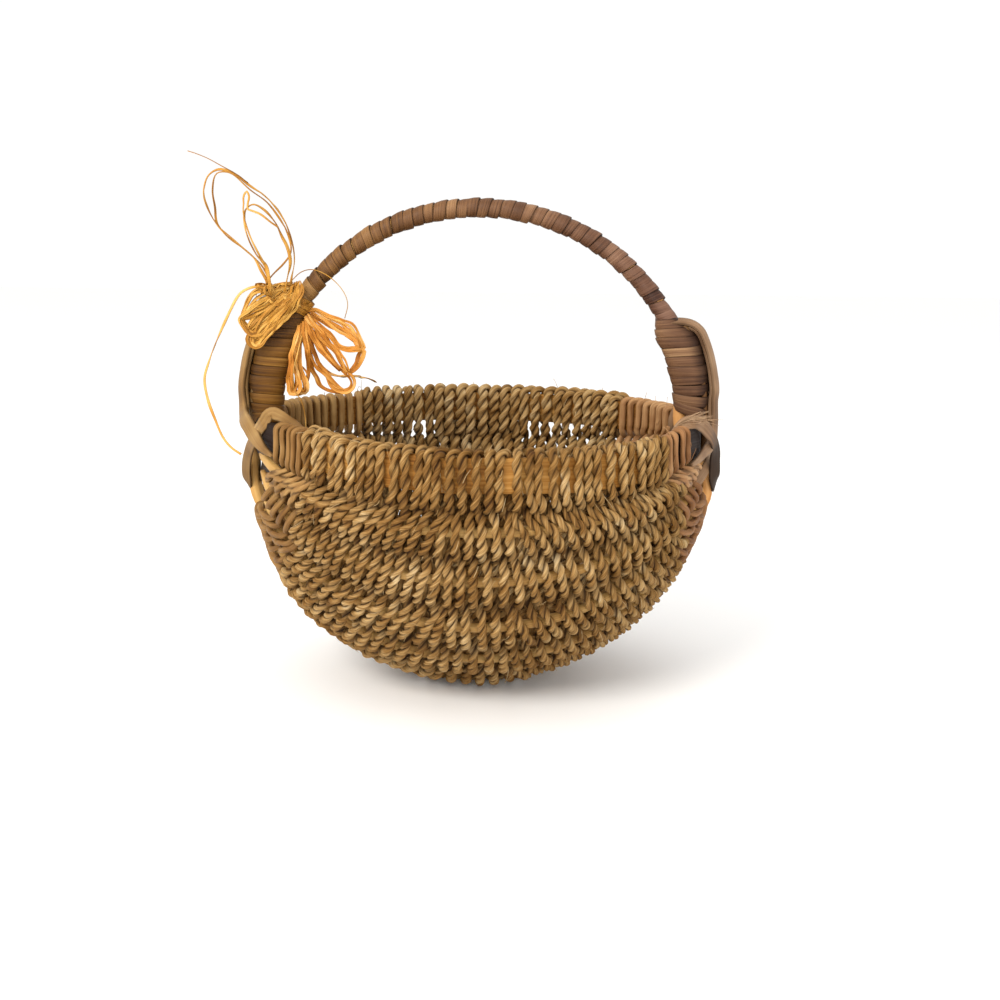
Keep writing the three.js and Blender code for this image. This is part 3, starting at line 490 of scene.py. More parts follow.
def knot():
    """The hank that is pulled through the tie and folded back: strands that lie close beside each other."""
    r = np.random.RandomState(77)
    m = Mesh()
    def strand(points, width, tone, face=(0.2, -1.0, 0.15), thick=0.45, twist=0.7, count=1):
        p = smooth(closer(points), 1.1)
        s = length_of(p)
        t, n, b = frames(p, np.broadcast_to(np.array(face, float), p.shape))
        seed = r.randint(10000)
        a = twist * noise1(s, 22, seed)
        n, b = n * np.cos(a)[:, None] + b * np.sin(a)[:, None], b * np.cos(a)[:, None] - n * np.sin(a)[:, None]
        w = width * (0.85 + 0.2 * noise1(s, 17, seed + 1)) * np.clip(0.35 + np.minimum(s, s[-1] - s) / 5, 0, 1)
        split(m, p, n, b, s, w, count, thick, seed, tone)
    def family(count, line, half, deep, width, tone):
        line, half = np.array(line, float), np.array(half, float)
        along = tangents(line)
        across = unit(np.stack([along[:, 2], 0 * along[:, 0], -along[:, 0]], 1))
        for i in range(count):
            o, d = -1 + 2 * (i + 0.5) / count + 0.25 * (r.rand() - 0.5), r.rand() * 2 - 1
            cross = (r.rand(len(line)) - 0.5) * 0.55
            q = line + across * ((o + cross) * half)[:, None]
            q[:, 1] += d * deep * (0.5 + 0.5 * np.sin(np.linspace(0, np.pi, len(line)))) + (r.rand(len(line)) - 0.5) * 0.8
            strand(q, width * (0.7 + 0.6 * r.rand()), tone + 0.3 * (r.rand() - 0.5))
    # down to the lower left
    family(36, [[-89.2, -11, 201.6], [-91.6, -12.4, 197], [-95, -13.4, 191.7], [-101.2, -14, 184.7], [-106.6, -13.6, 179], [-110.6, -12.6, 174.2]],
           [1.8, 2.6, 3.6, 4.6, 4.2, 2.6], 2.4, 1.3, 0.5)
    family(16, [[-90.6, -11, 200.6], [-95, -12.6, 196], [-100.4, -13.4, 190.6], [-106.4, -13.6, 185.6], [-111.4, -13, 181.4], [-114.2, -12.2, 178.4]],
           [1.4, 1.8, 2.4, 2.8, 2.6, 1.6], 1.8, 1.1, 0.6)
    # out to the left, round and back
    family(13, [[-93.1, -11.6, 199.8], [-99.9, -13, 195], [-106.7, -13.6, 190.5], [-113, -13.6, 186.8], [-117.4, -13, 184], [-115.4, -12.6, 180.4], [-112.2, -13, 177.2],
                [-108.5, -13.6, 178.9], [-104.6, -14, 183.2], [-99.6, -13.4, 188.6], [-95, -12.4, 194.6]],
           [1.2, 2.2, 2.6, 2.0, 1.1, 1.0, 1.3, 2.2, 2.8, 2.6, 1.8], 2.2, 1.3, 0.55)
    family(10, [[-97.4, -12.4, 199], [-102.4, -13.4, 196.4], [-108, -13.6, 193], [-113, -13.2, 189.4], [-116.8, -12.8, 185.6]], [1.2, 2.0, 2.4, 1.8, 0.7], 1.6, 1.0, 0.6)
    # along the top and down the left edge
    family(8, [[-91.6, -12, 201], [-96.6, -13, 200.6], [-102, -13.6, 199.6], [-107.4, -13.6, 198.8], [-111.6, -13.4, 196.6], [-114, -13.2, 193], [-116, -13, 188.6], [-118, -12.8, 184.6]],
           [1.4, 1.6, 1.6, 1.3, 0.9, 0.8, 0.8, 0.6], 1.4, 1.2, 0.6)
    # the crossing strands of the upper half
    for i in range(22):
        x, z = -108 + 18 * r.rand(), 194.4 + 5.6 * r.rand()
        q = [[x, -11.5 - 2 * r.rand(), z]]
        a = r.rand() * 6.283
        for k in range(5):
            a += (r.rand() - 0.5) * 1.7
            q.append([float(np.clip(q[-1][0] + 3.4 * math.cos(a), -110, -88.4)), -12 - 4 * r.rand(), float(np.clip(q[-1][2] + 2.4 * math.sin(a), 191, 201.6))])
        strand(q, 1.0 + 0.8 * r.rand(), 0.35 + 0.5 * r.rand(), twist=1.2)
    # the broad leaf on the right, folded under at its lower end
    strand([[-88.4, -14, 203.4], [-88.2, -15.6, 198.6], [-90.9, -16.8, 192.8], [-94.6, -17.2, 187.6], [-98.9, -17, 182.6], [-103, -16.4, 178.4], [-106, -15.8, 175],
            [-108.4, -15.2, 172.2], [-110.6, -14.6, 171.2], [-112.6, -13.8, 172.6], [-112.6, -13, 175.6], [-110, -12.8, 177]], 4.2, 0.55, face=(0.45, -1.0, 0.2), thick=0.4, twist=0.3, count=4)
    strand([[-89.6, -13.4, 203], [-90.2, -15.2, 197.6], [-93.2, -16.4, 191.4], [-97.2, -16.8, 186], [-101.6, -16.4, 181.4], [-105.8, -15.6, 177.6], [-109.6, -14.4, 174.4]],
           3.4, 0.45, face=(0.1, -1.0, 0.3), thick=0.4, twist=0.4, count=4)
    # the small hard knot at the foot of the loops
    turn = np.linspace(0, 4.2 * 2 * np.pi, 60)
    q = np.stack([-103.4 + 1.9 * np.cos(turn), -16.6 - 1.0 * np.sin(turn * 0.5), 198.8 + 1.9 * np.sin(turn)], 1)
    strand(q[::2], 1.7, 0.6, twist=0.5)
    q = np.stack([-103.4 + 1.5 * np.sin(turn * 0.7), -17 + 1.2 * np.cos(turn), 198.8 + 2.0 * np.sin(turn)], 1)
    strand(q[::2], 1.5, 0.5, face=(1, -0.4, 0.2), twist=0.5)
    return m.make("raffia_knot_hank", RAFFIA, "raffia_tie", ("raffia_knot",), "raffia")

knot()

def binding():
    """Turns of raffia round the handle, with the knot's pass over them."""
    m = Mesh()
    for k, (r0, half, turns, seed) in enumerate(((5.5, 4.0, 4.2, 1), (6.1, 3.4, 3.3, 2), (6.7, 2.4, 2.4, 3))):
        u = np.linspace(0, 1, int(turns * 26))
        a = u * turns * 2 * np.pi + k * 2.1
        wob = noise1(u * 100, 30, 500 + seed)
        at = -4.6 + (u - 0.5) * 2 * half * (1 if k % 2 else -1) + 0.6 * wob
        r = r0 + 0.3 * noise1(u * 100, 18, 510 + seed)
        radial = np.cos(a)[:, None] * TIE_OUT + np.sin(a)[:, None] * np.array([0, 1.0, 0])
        p = TIE_AT + radial * r[:, None] + TIE_AXIS * at[:, None]
        t, n, b = frames(p, radial)
        sec = np.broadcast_to(flat_section(2.2, 0.5)[None], (len(p), 12, 2))
        fib = np.stack(np.broadcast_arrays(sec[..., 1] * 1.2, sec[..., 0] * 0.3 + seed, length_of(p)[:, None] * 0.1), -1)
        # painted shade along the edges of each turn
        m.sweep(p, n, b, sec, fib=fib, tone=0.36 + 0.3 * wob, deep=np.clip((np.abs(sec[..., 1]) - 0.8) * 2.4, 0, 0.7))
    return m.make("raffia_turns", RAFFIA, "raffia_tie", ("raffia_binding",), "raffia")

binding()

# ---------------------------------------------------------------------- bowl's frame
def ring_points(n, rx, ry, power=2.0):
    a = np.arange(n) / n * 2 * np.pi
    c, s = np.cos(a), np.sin(a)
    return np.stack([np.sign(c) * np.abs(c) ** (2 / power) * rx, np.sign(s) * np.abs(s) ** (2 / power) * ry], 1)

def rim():
    a = np.radians(np.arange(0, 360, 2.0))
    out = np.stack([np.sin(a), -np.cos(a), 0 * a], 1)
    p = out * RIM_R + np.array([0, 0, RIM_Z])
    sec = ring_points(20, 2.0, 8.0, 6.0)[None] * np.ones((len(a), 1, 1))
    t, n, b = frames(p, out, closed=True)
    s = a * RIM_R
    k = np.arange(20) / 20 * 2 * np.pi
    fib = np.stack(np.broadcast_arrays(np.cos(k)[None] * 0.6 + 0 * s[:, None], np.sin(k)[None] * 2.4 + 0 * s[:, None], 4.0 * np.sin(a)[:, None] * 4 + 9 * np.cos(a)[:, None]), -1)
    # painted shade: the rim darkens towards each ear, more at the front than the back, for the shade in the ears'
    # hollows
    ear = np.clip((np.abs(np.degrees(np.arcsin(np.sin(a)))) - 42) / 12, 0, 1)
    m = Mesh()
    m.sweep(p, n, b, sec, fib=fib, tone=0.5 + 0.2 * noise1(s, 60, 7), deep=(ear * (0.45 + 0.55 * np.clip(0.5 + 4 * np.cos(a), 0, 1)))[:, None], closed=True)
    return m.make("rim_hoop_wood", RIM_WOOD, "basket", ("rim_hoop",), "rim_wood")

UPRIGHT = [[114.4, 137], [113.2, 150], [110.9, 161], [107.8, 171], [102.5, 183], [101.3, 185.2]]

def keel():
    phi = np.radians(np.arange(-90, 91, 3.0))
    low = np.stack([KEEL_X * np.sin(phi), 0 * phi, RIM_Z - KEEL_Z * np.cos(phi)], 1)
    up = np.array([[x, 0, z] for x, z in UPRIGHT[:-1]])
    p = np.vstack([(up * [-1, 1, 1])[::-1], low, up])
    p = smooth(p, 3.0)
    p[:, 0] += np.where(p[:, 0] < 0, -2.0, 3.6) * np.cos(np.clip((p[:, 2] - 97) / 18, -1, 1) * np.pi / 2) ** 2
    t = tangents(p)
    guide = np.cross(t, [0, 1.0, 0])
    _, n, b = frames(p, guide)
    sec = ring_points(16, 2.0, 6.0, 4.0)[None] * np.ones((len(p), 1, 1))
    high = np.clip((p[:, 2] - 112) / 12, 0, 1)
    ear = np.clip(1 - np.abs(p[:, 2] - 98) / 24, 0, 1)
    sec = sec * np.stack([1 - 0.15 * high + 0.4 * ear, 1 - 0.12 * high], 1)[:, None]
    m = Mesh()
    # painted shade: the hoop darkens above z 112, where it runs up under the lashes and into the legs
    m.sweep(p, n, b, sec, tone=0.5 + 0.2 * noise1(length_of(p), 70, 9), deep=0.95 * np.clip((p[:, 2] - 112) / 8, 0, 1)[:, None])
    return m.make("keel_hoop_wood", PALE_WOOD, "basket", ("keel_hoop",), "pale_wood")

def rib(name, theta, end, seed):
    phi = np.linspace(-end, end, 75)
    p, n = bowl(phi, np.full_like(phi, theta), 0 * phi)
    s = length_of(p)
    _, n, b = frames(p, n)
    taper = np.clip(np.minimum(s, s[-1] - s) / 9, 0.3, 1) ** 0.7
    sec = ring_points(12, 2.1, 2.5, 2.4)[None] * np.stack([0.35 + 0.65 * taper, taper], 1)[:, None]
    m = Mesh()
    m.sweep(p, n, b, sec, tone=0.5 + 0.2 * noise1(s, 60, seed))
    return m.make(name + "_reed", RIB, "basket", (name,), "rib_reed")

rim()
keel()
for i, (theta, end) in enumerate(zip(RIB_THETA, [76.5, 72.5, 68, 69, 71.5])):
    rib("rib_front_%d" % (i + 1), theta, end, 200 + i)
    rib("rib_back_%d" % (i + 1), 180 - theta, end, 210 + i)

# ---------------------------------------------------------------------------- weave
PASSES = 86
ELEMENTS = [0] + RIB_THETA + [90] + [180 - t for t in RIB_THETA[::-1]] + [180]
FLAT = [3.6] + [0.6] * 5 + [2.0] + [0.6] * 5 + [3.6]
TH_KNOTS, Q_KNOTS = [], []
for e, (t, f) in enumerate(zip(ELEMENTS, FLAT)):
    TH_KNOTS += [max(0, t - f), min(180, t + f)]
    Q_KNOTS += [e, e]
WEAVE_H = 4.0
ROPE = 2.22
STEP = 0.85

jit_phi = rng.uniform(-1, 1, (PASSES, 13))
jit_h = rng.uniform(-1, 1, (PASSES, 13))
share_of = -1 + (np.arange(PASSES) + 0.5) * 2 / PASSES
ROAM = np.array([0.55, 0.24, 0.24, 0.24, 0.2, 0.15, 0.12, 0.12, 0.12, 0.12, 0.15, 0.15, 0.24])

def ease(x, a, b):
    u = np.clip((x - a) / (b - a), 0, 1)
    return u * u * (3 - 2 * u)

def lean_of(phi, q, odd):
    """How far a float leans out towards the ear as it goes down, in strands. Neighbours lean a whole strand between them, which leaves no gaps."""
    a = abs(phi)
    front = (1.3 if odd else 0.7) * ease(a, 6, 10) + (1.0 if odd else 0.0) * ease(a, 47, 52)
    low = ease(a, 14, 17)
    high = 0.3 * ease(a, 11, 14) + 0.7 * ease(a, 44, 50)
    back = low + (high - low) * ease(q, 9.4, 9.6)
    return front + (back - front) * ease(q, 5.5, 6.5)

def slim(s, back):
    """1 where the strand is a rod of reed, at the front or the back rim."""
    return float(abs(s) > ((0.5 if s < 0 else 0.635) if back else (0.77 if s < 0 else 0.815)))

def one_pass(k):
    """A strand from the front rim under the bowl to the back rim: out over one rib, in behind the next."""
    theta = np.linspace(0, 180, 620)
    q = np.interp(theta, TH_KNOTS, Q_KNOTS)
    sgn = 1.0 if k % 2 == 0 else -1.0
    c = np.cos(np.pi * q) * sgn
    c = np.sign(c) * np.abs(c) ** 0.62
    e = np.arange(13)
    j = np.interp(q, e, jit_phi[k] * ROAM)
    s = share_of[k]
    hgt = WEAVE_H + 0.3 * np.interp(q, e, jit_h[k]) - 0.6 * (slim(s, False) * ease(-theta, -12, -4) + slim(s, True) * ease(theta, 168, 176))
    end = weave_end(theta, s)
    lean = lean_of(s * 62, q, k % 2)
    zig = np.sin(np.pi * q) * sgn * np.tanh(3.0 * (6 - q)) * np.sign(s) * lean
    phi = (s + (zig + j) * 2 / PASSES) * end
    off = hgt * c
    low = np.cos(np.radians(phi)) * np.sin(np.radians(theta))
    off = off + np.where(c > 0, c, 0) * 5.0 * low ** 26
    p, n = bowl(phi, theta, off)
    p[:, 2] = np.maximum(p[:, 2], ROPE - 0.02)
    return p, n, theta, phi, np.abs(c)

def wrap_over(pa, pb, back, thin=0.0):
    """Over the top of the rim, from the strand outside it to the strand inside it. Angles from the middle of the basket."""
    t = np.linspace(0, np.pi, 16)
    w = (t / np.pi) ** 2 * (3 - 2 * t / np.pi)
    h = WEAVE_H - 0.6 * thin
    up = np.concatenate([np.linspace(0.4, 7.2, 9), 7.6 + (2.5 - 0.85 * thin) * np.sin(t), np.linspace(7.2, 0.4, 9)])
    o = np.concatenate([np.full(9, h), h * np.cos(t), np.full(9, -h)])
    ww = np.concatenate([np.zeros(9), w, np.ones(9)])
    lift = np.concatenate([np.zeros(9), np.sin(t), np.zeros(9)])
    f = np.radians(pa + (pb - pa) * ww)
    side = 1.0 if back else -1.0
    radial = np.stack([np.sin(f), side * np.cos(f), 0 * f], 1)
    p = radial * (RIM_R + o)[:, None]
    p[:, 2] = RIM_Z + up
    n = radial * np.sign(np.where(o == 0, 1, o))[:, None] * (1 - lift)[:, None] + np.array([0, 0, 1.0]) * lift[:, None]
    return p, unit(n)

def strays(m, P, t, n, b, part, share):
    """Loose fibres that lift off the strand."""
    for i in part[4:-16]:
        if rng.rand() > share:
            continue
        a0, long, lift, way = rng.rand() * 6.283, 5 + 8 * rng.rand(), 0.6 + 1.8 * rng.rand() ** 2, rng.choice([-1.0, 1.0])
        j = np.minimum(i + np.arange(10), len(P) - 1)
        u = np.linspace(0, 1, 10)
        a = a0 + u * 1.2 * way
        r = 1.75 + 0.35 * u + lift * u ** 2
        side = np.cos(a)[:, None] * n[j] + np.sin(a)[:, None] * b[j]
        p = P[i] + t[i] * (u * long * way)[:, None] * 0.75 + side * r[:, None]
        if p[:, 2].min() < 0.4 or np.abs(p[:, 0]).max() > 119:
            continue
        _, nn, bb = frames(p)
        thin = 0.2 * (1 - 0.6 * u)
        m.sweep(p, nn, bb, ring_points(4, 1.0, 1.0)[None] * thin[:, None, None], tone=np.full(10, 0.55 + 0.4 * rng.rand()))

def weave():
    passes = [one_pass(k) for k in range(PASSES)]
    P, N, S, T, D = [], [], [], [], []
    def put(p, n, s, th, d):
        P.append(p); N.append(n); S.append(np.full(len(p), s)); T.append(np.full(len(p), th) if np.isscalar(th) else th)
        D.append(np.full(len(p), d) if np.isscalar(d) else d)
    for k in range(PASSES):
        p, n, th, phi, d = passes[k]
        # the strand outside the rim has its face out; the one inside has its face in, so the face turns over the rim
        if k % 2 == 0:
            put(p[::-1], n[::-1], share_of[k], th[::-1], d[::-1])
            if k + 1 < PASSES:
                wp, wn = wrap_over(phi[0], passes[k + 1][3][0], False, slim(share_of[k], False))
                put(wp[1:-1], wn[1:-1], share_of[k], 0.0, 1.0)
        else:
            put(p, n, share_of[k], th, d)
            if k + 1 < PASSES:
                wp, wn = wrap_over(passes[k + 1][3][-1], phi[-1], True, slim(share_of[k], True))
                put(wp[::-1][1:-1], wn[::-1][1:-1], share_of[k], 180.0, 1.0)
    P, N, S, T, D = np.vstack(P), np.vstack(N), np.concatenate(S), np.concatenate(T), np.concatenate(D)
    full = even(np.column_stack([P, N, S, T, D]), STEP)
    P, S, T, D = full[:, :3], full[:, 6], full[:, 7], full[:, 8]
    # painted shade where the strand crosses from outside to inside, between its neighbours
    dive = 0.75 * np.clip(1 - D, 0, 1) ** 1.3
    # a light smoothing takes the corners out
    for _ in range(2):
        P[1:-1] = 0.25 * P[:-2] + 0.5 * P[1:-1] + 0.25 * P[2:]
    t, n, b = frames(P)
    arc = length_of(P)
    limit = np.where(T < 90, np.where(S < 0, 0.77, 0.815), np.where(S < 0, 0.5, 0.635))
    reed = np.abs(S) > limit
    cuts = np.flatnonzero(np.diff(reed.astype(int))) + 1
    runs = np.split(np.arange(len(P)), cuts)
    turn = 2 * np.pi * np.cumsum(np.concatenate([[0], np.diff(arc)]) / (14.0 * (1 + 0.2 * noise1(arc, 60, 31))))
    fat = 1 + 0.07 * noise1(arc, 23, 32) + 0.05 * noise1(arc, 7, 33) + 0.22 * ease(T, 80, 95) + 0.06 * ease(T, 60, 80) + 0.1 * ease(T, 95, 110) * ease(-T, -165, -150)
    aside = ease(np.abs(S), 0.14, 0.22)
    fat = fat + (0.1 - 0.1 * aside) * ease(T, 166, 170) - 0.42 * aside * (np.exp(-((T - 171.6) / 1.3) ** 2) + 0.9 * np.exp(-((T - 175.2) / 0.8) ** 2))
    tone = 0.5 + 0.1 * noise1(arc, 160, 34) + 0.15 * noise1(arc, 21, 35) - 0.17 * ease(-np.abs(S), -0.45, -0.15) * ease(-T, -14, -8) + 0.1 * ease(T, 150, 165)
    shells = {}
    # two plies side by side, each a folded leaf with its own creases
    beta = np.radians(np.linspace(-132, 132, 12))
    ply = np.repeat([0, 1], len(beta))
    local = np.concatenate([beta, beta])
    way = np.where(ply == 0, 1.0, -1.0)
    lobe_a, lobe_c = 1.36, 0.98
    groove = np.clip((np.abs(np.degrees(local)) - 78) / 54, 0, 1) ** 1.4
    wander = np.stack([3.0 * noise1(arc, 46, 600 + k) for k in range(2)], 1)
    plump = np.stack([1 + 0.13 * noise1(arc, 15, 640 + k) for k in range(2)], 1)
    def ridged(x):
        return 2 * np.abs(2 * ((x / (2 * np.pi)) % 1) - 1) - 1
    for run in runs:
        if len(run) < 6:
            continue
        # runs meet end to end
        run = np.arange(max(0, run[0] - 1), run[-1] + 1)
        kind = reed[run[len(run) // 2]]
        s_mid = float(np.median(S[run]))
        # a long run is shared between the lengths of cord that it is made of
        if not kind:
            bins = np.clip(((S[run] + 0.72) / 1.44 * 9).astype(int), 0, 8)
        else:
            bins = np.where(np.abs(S[run]) < 0.83, 0, 1)
        parts = np.split(run, np.flatnonzero(np.diff(bins)) + 1)
        bvals = [bins[0]] + [bins[i] for i in np.flatnonzero(np.diff(bins)) + 1]
        for part, bv in zip(parts, bvals):
            part = np.arange(max(run[0], part[0] - 1), part[-1] + 1)
            if len(part) < 4:
                continue
            if not kind:
                name = "seagrass_weaver_%d" % (bv + 1)
                fold = ridged(3 * local[None] + wander[part][:, ply]) * 0.11 + ridged(8 * local[None] - 1.7 * wander[part][:, ply]) * 0.055
                r = lobe_a * plump[part][:, ply] * (1 + fold * (1 - groove)[None])
                x, y = (lobe_c + r * np.cos(local)[None]) * way[None], r * np.sin(local)[None] * way[None]
                ct, st, size = np.cos(turn[part])[:, None], np.sin(turn[part])[:, None], fat[part][:, None]
                sec = np.stack([(x * ct - y * st) * size, (x * st + y * ct) * size], -1)
                fib = np.stack(np.broadcast_arrays(np.cos(local)[None] * 1.3 + 4.0 * ply[None], np.sin(local)[None] * 1.3, arc[part][:, None] * 0.1), -1)
                # painted shade in the groove between the plies, in their creases, and where the strand dives
                deep = np.clip(groove[None] * 0.9 - 2.0 * fold + dive[part][:, None], 0, 1)
            else:
                name = "reed_weaver_%s_%d" % ("left" if s_mid < 0 else "right", bv + 1)
                a = (np.arange(12) / 12 * 2 * np.pi)[None] + 0 * turn[part][:, None] / 6
                ridge = 1 + 0.06 * np.cos(3 * a + arc[part][:, None] * 0.2) + 0.025 * np.cos(7 * a - arc[part][:, None] * 0.1)
                # over the first rib it is twisted, two plies
                spun = a - 0.55 * turn[part][:, None]
                ridge = ridge + (ease(T[part], 6.5, 9) * ease(-T[part], -20.5, -18))[:, None] * (0.19 * np.cos(2 * spun) + 0.08 * np.cos(5 * spun + 1))
                r = (1.5 - 0.16 * ease(P[part][:, 2], 112, 119) * ease(-T[part], -100, -80) + 0.12 * ease(T[part], 95, 110))[:, None] * ridge * (1 + 0.5 * (fat[part] - 1))[:, None]
                sec = np.stack([r * np.cos(a), r * np.sin(a)], -1)
                fib = np.stack(np.broadcast_arrays(np.cos(a) * 1.6, np.sin(a) * 1.6, arc[part][:, None] * 0.1), -1)
                # painted shade in the reed's grooves and where it dives
                deep = np.clip((1.0 - ridge) * 3.6 + dive[part][:, None], 0, 1)
            shells.setdefault(name, []).append((part, sec, fib, deep))
    for name in sorted(shells):
        m = Mesh()
        is_reed = name.startswith("reed")
        for part, sec, fib, deep in shells[name]:
            m.sweep(P[part], n[part], b[part], sec, fib=fib, tone=tone[part] + (0.3 * ease(T[part], 150, 165) + 0.3 * ease(T[part], 6, 9) * ease(-T[part], -24, -18) if is_reed else 0), deep=deep)
            strays(m, P, t, n, b, part, 0.012 if is_reed else 0.03)
        m.make(name.replace("weaver", "cord"), REED if is_reed else SEAGRASS, "basket", (name,), "reed" if is_reed else "seagrass")

weave()

# --------------------------------------------------------------------------- handle
BOW_POINTS = [[103.6, 119], [104.0, 134], [104.2, 147], [103.7, 158]]
BOW_RIGHT = [[104.2, 119], [103.4, 127], [102.1, 136], [102.3, 142], [103.9, 150], [103.7, 158]]

def bow():
    pts = [[-x, 0, z] for x, z in BOW_POINTS]
    pts += [[109 * math.cos(math.radians(a)), 0, 130.6 + 109 * math.sin(math.radians(a))] for a in range(159, 20, -6)]
    pts += [[x, 0, z] for x, z in BOW_RIGHT[::-1]]
    p = smooth(pts, 3.0)
    t = tangents(p)
    _, n, b = frames(p, np.cross(t, [0, 1.0, 0]))
    m = Mesh()
    # painted shade: the pole's left foot, below z 150 inside the ear, is dark
    m.sweep(p, n, b, ring_points(14, 3.5, 3.5)[None] * np.ones((len(p), 1, 1)), tone=0.45 + 0.2 * noise1(length_of(p), 60, 3),
            deep=np.where((p[:, 0] < 0) & (p[:, 2] < 150), 0.9, 0.0)[:, None])
    return m.make("handle_bow_pole", PALE_WOOD, "basket", ("handle_bow",), "pale_wood")

def handle_wrap():
    """Flat cane wound round the arch, each turn lapping the last."""
    a0, a1, pitch = math.radians(180 - 30.6), math.radians(30.6), 5.5
    span = 109 * (a0 - a1)
    turns = span / pitch
    n = int(turns * 28)
    u = np.linspace(0, 1, n)
    w = u * turns * 2 * np.pi
    along = u * span + 0.75 * noise1(u * turns, 2.7, 41)
    swell = 0.3 * noise1(u * turns, 2.1, 42)
    sec = flat_section(6.4, 0.9, crown=0.16)
    m = Mesh()
    verts = np.zeros((n, 12, 3))
    for k in range(12):
        t_off, x_off = sec[k]
        a = a0 - (along + x_off) / 109
        out = np.stack([np.cos(a), 0 * a, np.sin(a)], 1)
        r = 4.15 + swell + t_off + 0.115 * x_off
        verts[:, k] = np.array([0, 0, 130.6]) + out * 109 + out * (r * np.cos(w))[:, None] + np.array([0, 1.0, 0]) * (r * np.sin(w))[:, None]
    return m, verts, w, u, turns

def shell(m, verts, fib, tone, deep):
    n, k = verts.shape[:2]
    zero = np.zeros((n, k, 2))
    base = m.n
    m.sweep(np.zeros((n, 3)), np.zeros((n, 3)), np.zeros((n, 3)), zero, fib=fib, tone=tone, deep=deep)
    m.v[-1] = verts.reshape(-1, 3)
    return m

def strip_fib(sec, s):
    return np.stack(np.broadcast_arrays(sec[None, :, 1] * 0.35, sec[None, :, 0] * 0.35, s[:, None] * 0.1), -1)

# painted shade along the edges of a strip, where the turns lap
def painted_edge_shade(sec, width):
    e = np.abs(sec[:, 1]) / (width / 2)
    return np.clip((e - 0.86) / 0.14, 0, 1)[None]

m, verts, w, u, turns = handle_wrap()
sec = flat_section(6.4, 0.9, crown=0.16)
shell(m, verts, strip_fib(sec, w * 4.6), 0.5 + 0.22 * noise1(u * turns, 5, 43) + 0.2 * noise1(u * turns, 1.3, 44) + 0.28 * ease(-u, -0.14, -0.02), painted_edge_shade(sec, 6.4))
m.make("handle_cane_wrap", CANE, "basket", ("handle_wrap",), "cane")
bow()

LEG_Z = [132.0, 136, 145.7, 150.7, 155.8, 160.8, 165.8, 170.8, 175.7, 180.7, 184.0, 188.0]
LEG_IN = [98.6, 98.6, 98.3, 97.4, 96.2, 94.8, 93.0, 90.9, 88.4, 87.2, 87.2, 87.8]
LEG_OUT = [116.6, 116.9, 117.2, 117.1, 116.7, 115.8, 114.4, 112.8, 111.0, 107.6, 103.2, 97.0]

def leg(side):
    """The cane that lashes the pole, the hoop's end and the splints together: turns that lie nearly level."""
    pitch, width, low, high = 4.75, 5.5, 134.9 if side < 0 else 140.4, 184.6
    turns = (high - low) / pitch + 1
    n = int(turns * 60)
    u = np.linspace(0, 1, n)
    w = u * turns * 2 * np.pi + (0.6 if side > 0 else 2.4)
    seed = 50 if side < 0 else 60
    along = low + np.clip(u * turns - 0.5, 0, turns - 1) / (turns - 1) * (high - low) + 0.45 * noise1(u * turns, 2.3, seed)
    if side > 0:
        along = along - (1.2 + 3.2 * np.cos(w)) * ease(-along, -152, -141)
    swell = 0.4 * noise1(u * turns, 1.9, seed + 1)
    sec = flat_section(width, 0.95, crown=0.22)
    verts = np.zeros((n, 12, 3))
    cw, sw = np.cos(w), np.sin(w)
    e = 2 / 2.5
    for k in range(12):
        t_off, x_off = sec[k]
        z = np.clip(along + x_off, 132.2, 187.2)
        near, far = np.interp(z, LEG_Z, LEG_IN), np.interp(z, LEG_Z, LEG_OUT)
        grow = swell + t_off + 0.09 * x_off - 1.0
        rx, ry = (far - near) / 2 + grow, 7.4 + grow - 2.0 * np.clip((z - 178) / 10, 0, 1)
        verts[:, k, 0] = side * ((far + near) / 2 + np.sign(cw) * np.abs(cw) ** e * rx)
        verts[:, k, 1] = np.sign(sw) * np.abs(sw) ** e * ry
        verts[:, k, 2] = z
    m = Mesh()
    # painted shade: each turn is darker on its outer side, beside the splint, in tone and in deep; the left leg is also
    # darker near its top and the right near its foot
    shell(m, verts, strip_fib(sec, w * 8), 0.48 + 0.16 * noise1(u * turns, 3, seed + 2) + 0.14 * noise1(u * turns, 1.1, seed + 3) - 0.2 * cw * (1 if side > 0 else 0.3)
          - (0.2 * ease(along, 160, 172) if side < 0 else 0.16 * ease(-along, -160, -150)),
          np.clip(painted_edge_shade(sec, width) + (0.9 if side > 0 else 0.6) * ease(cw, 0.0, 0.85)[:, None], 0, 1))
    if side < 0:
        m.f = [face[::-1] for face in m.f]
    name = "left" if side < 0 else "right"
    return m.make(name + "_leg_cane", CANE_LEFT_WARM_LIGHT if side < 0 else CANE_RIGHT_SHADED, "basket", (name + "_leg_wrap",), "cane")

leg(-1)
leg(1)

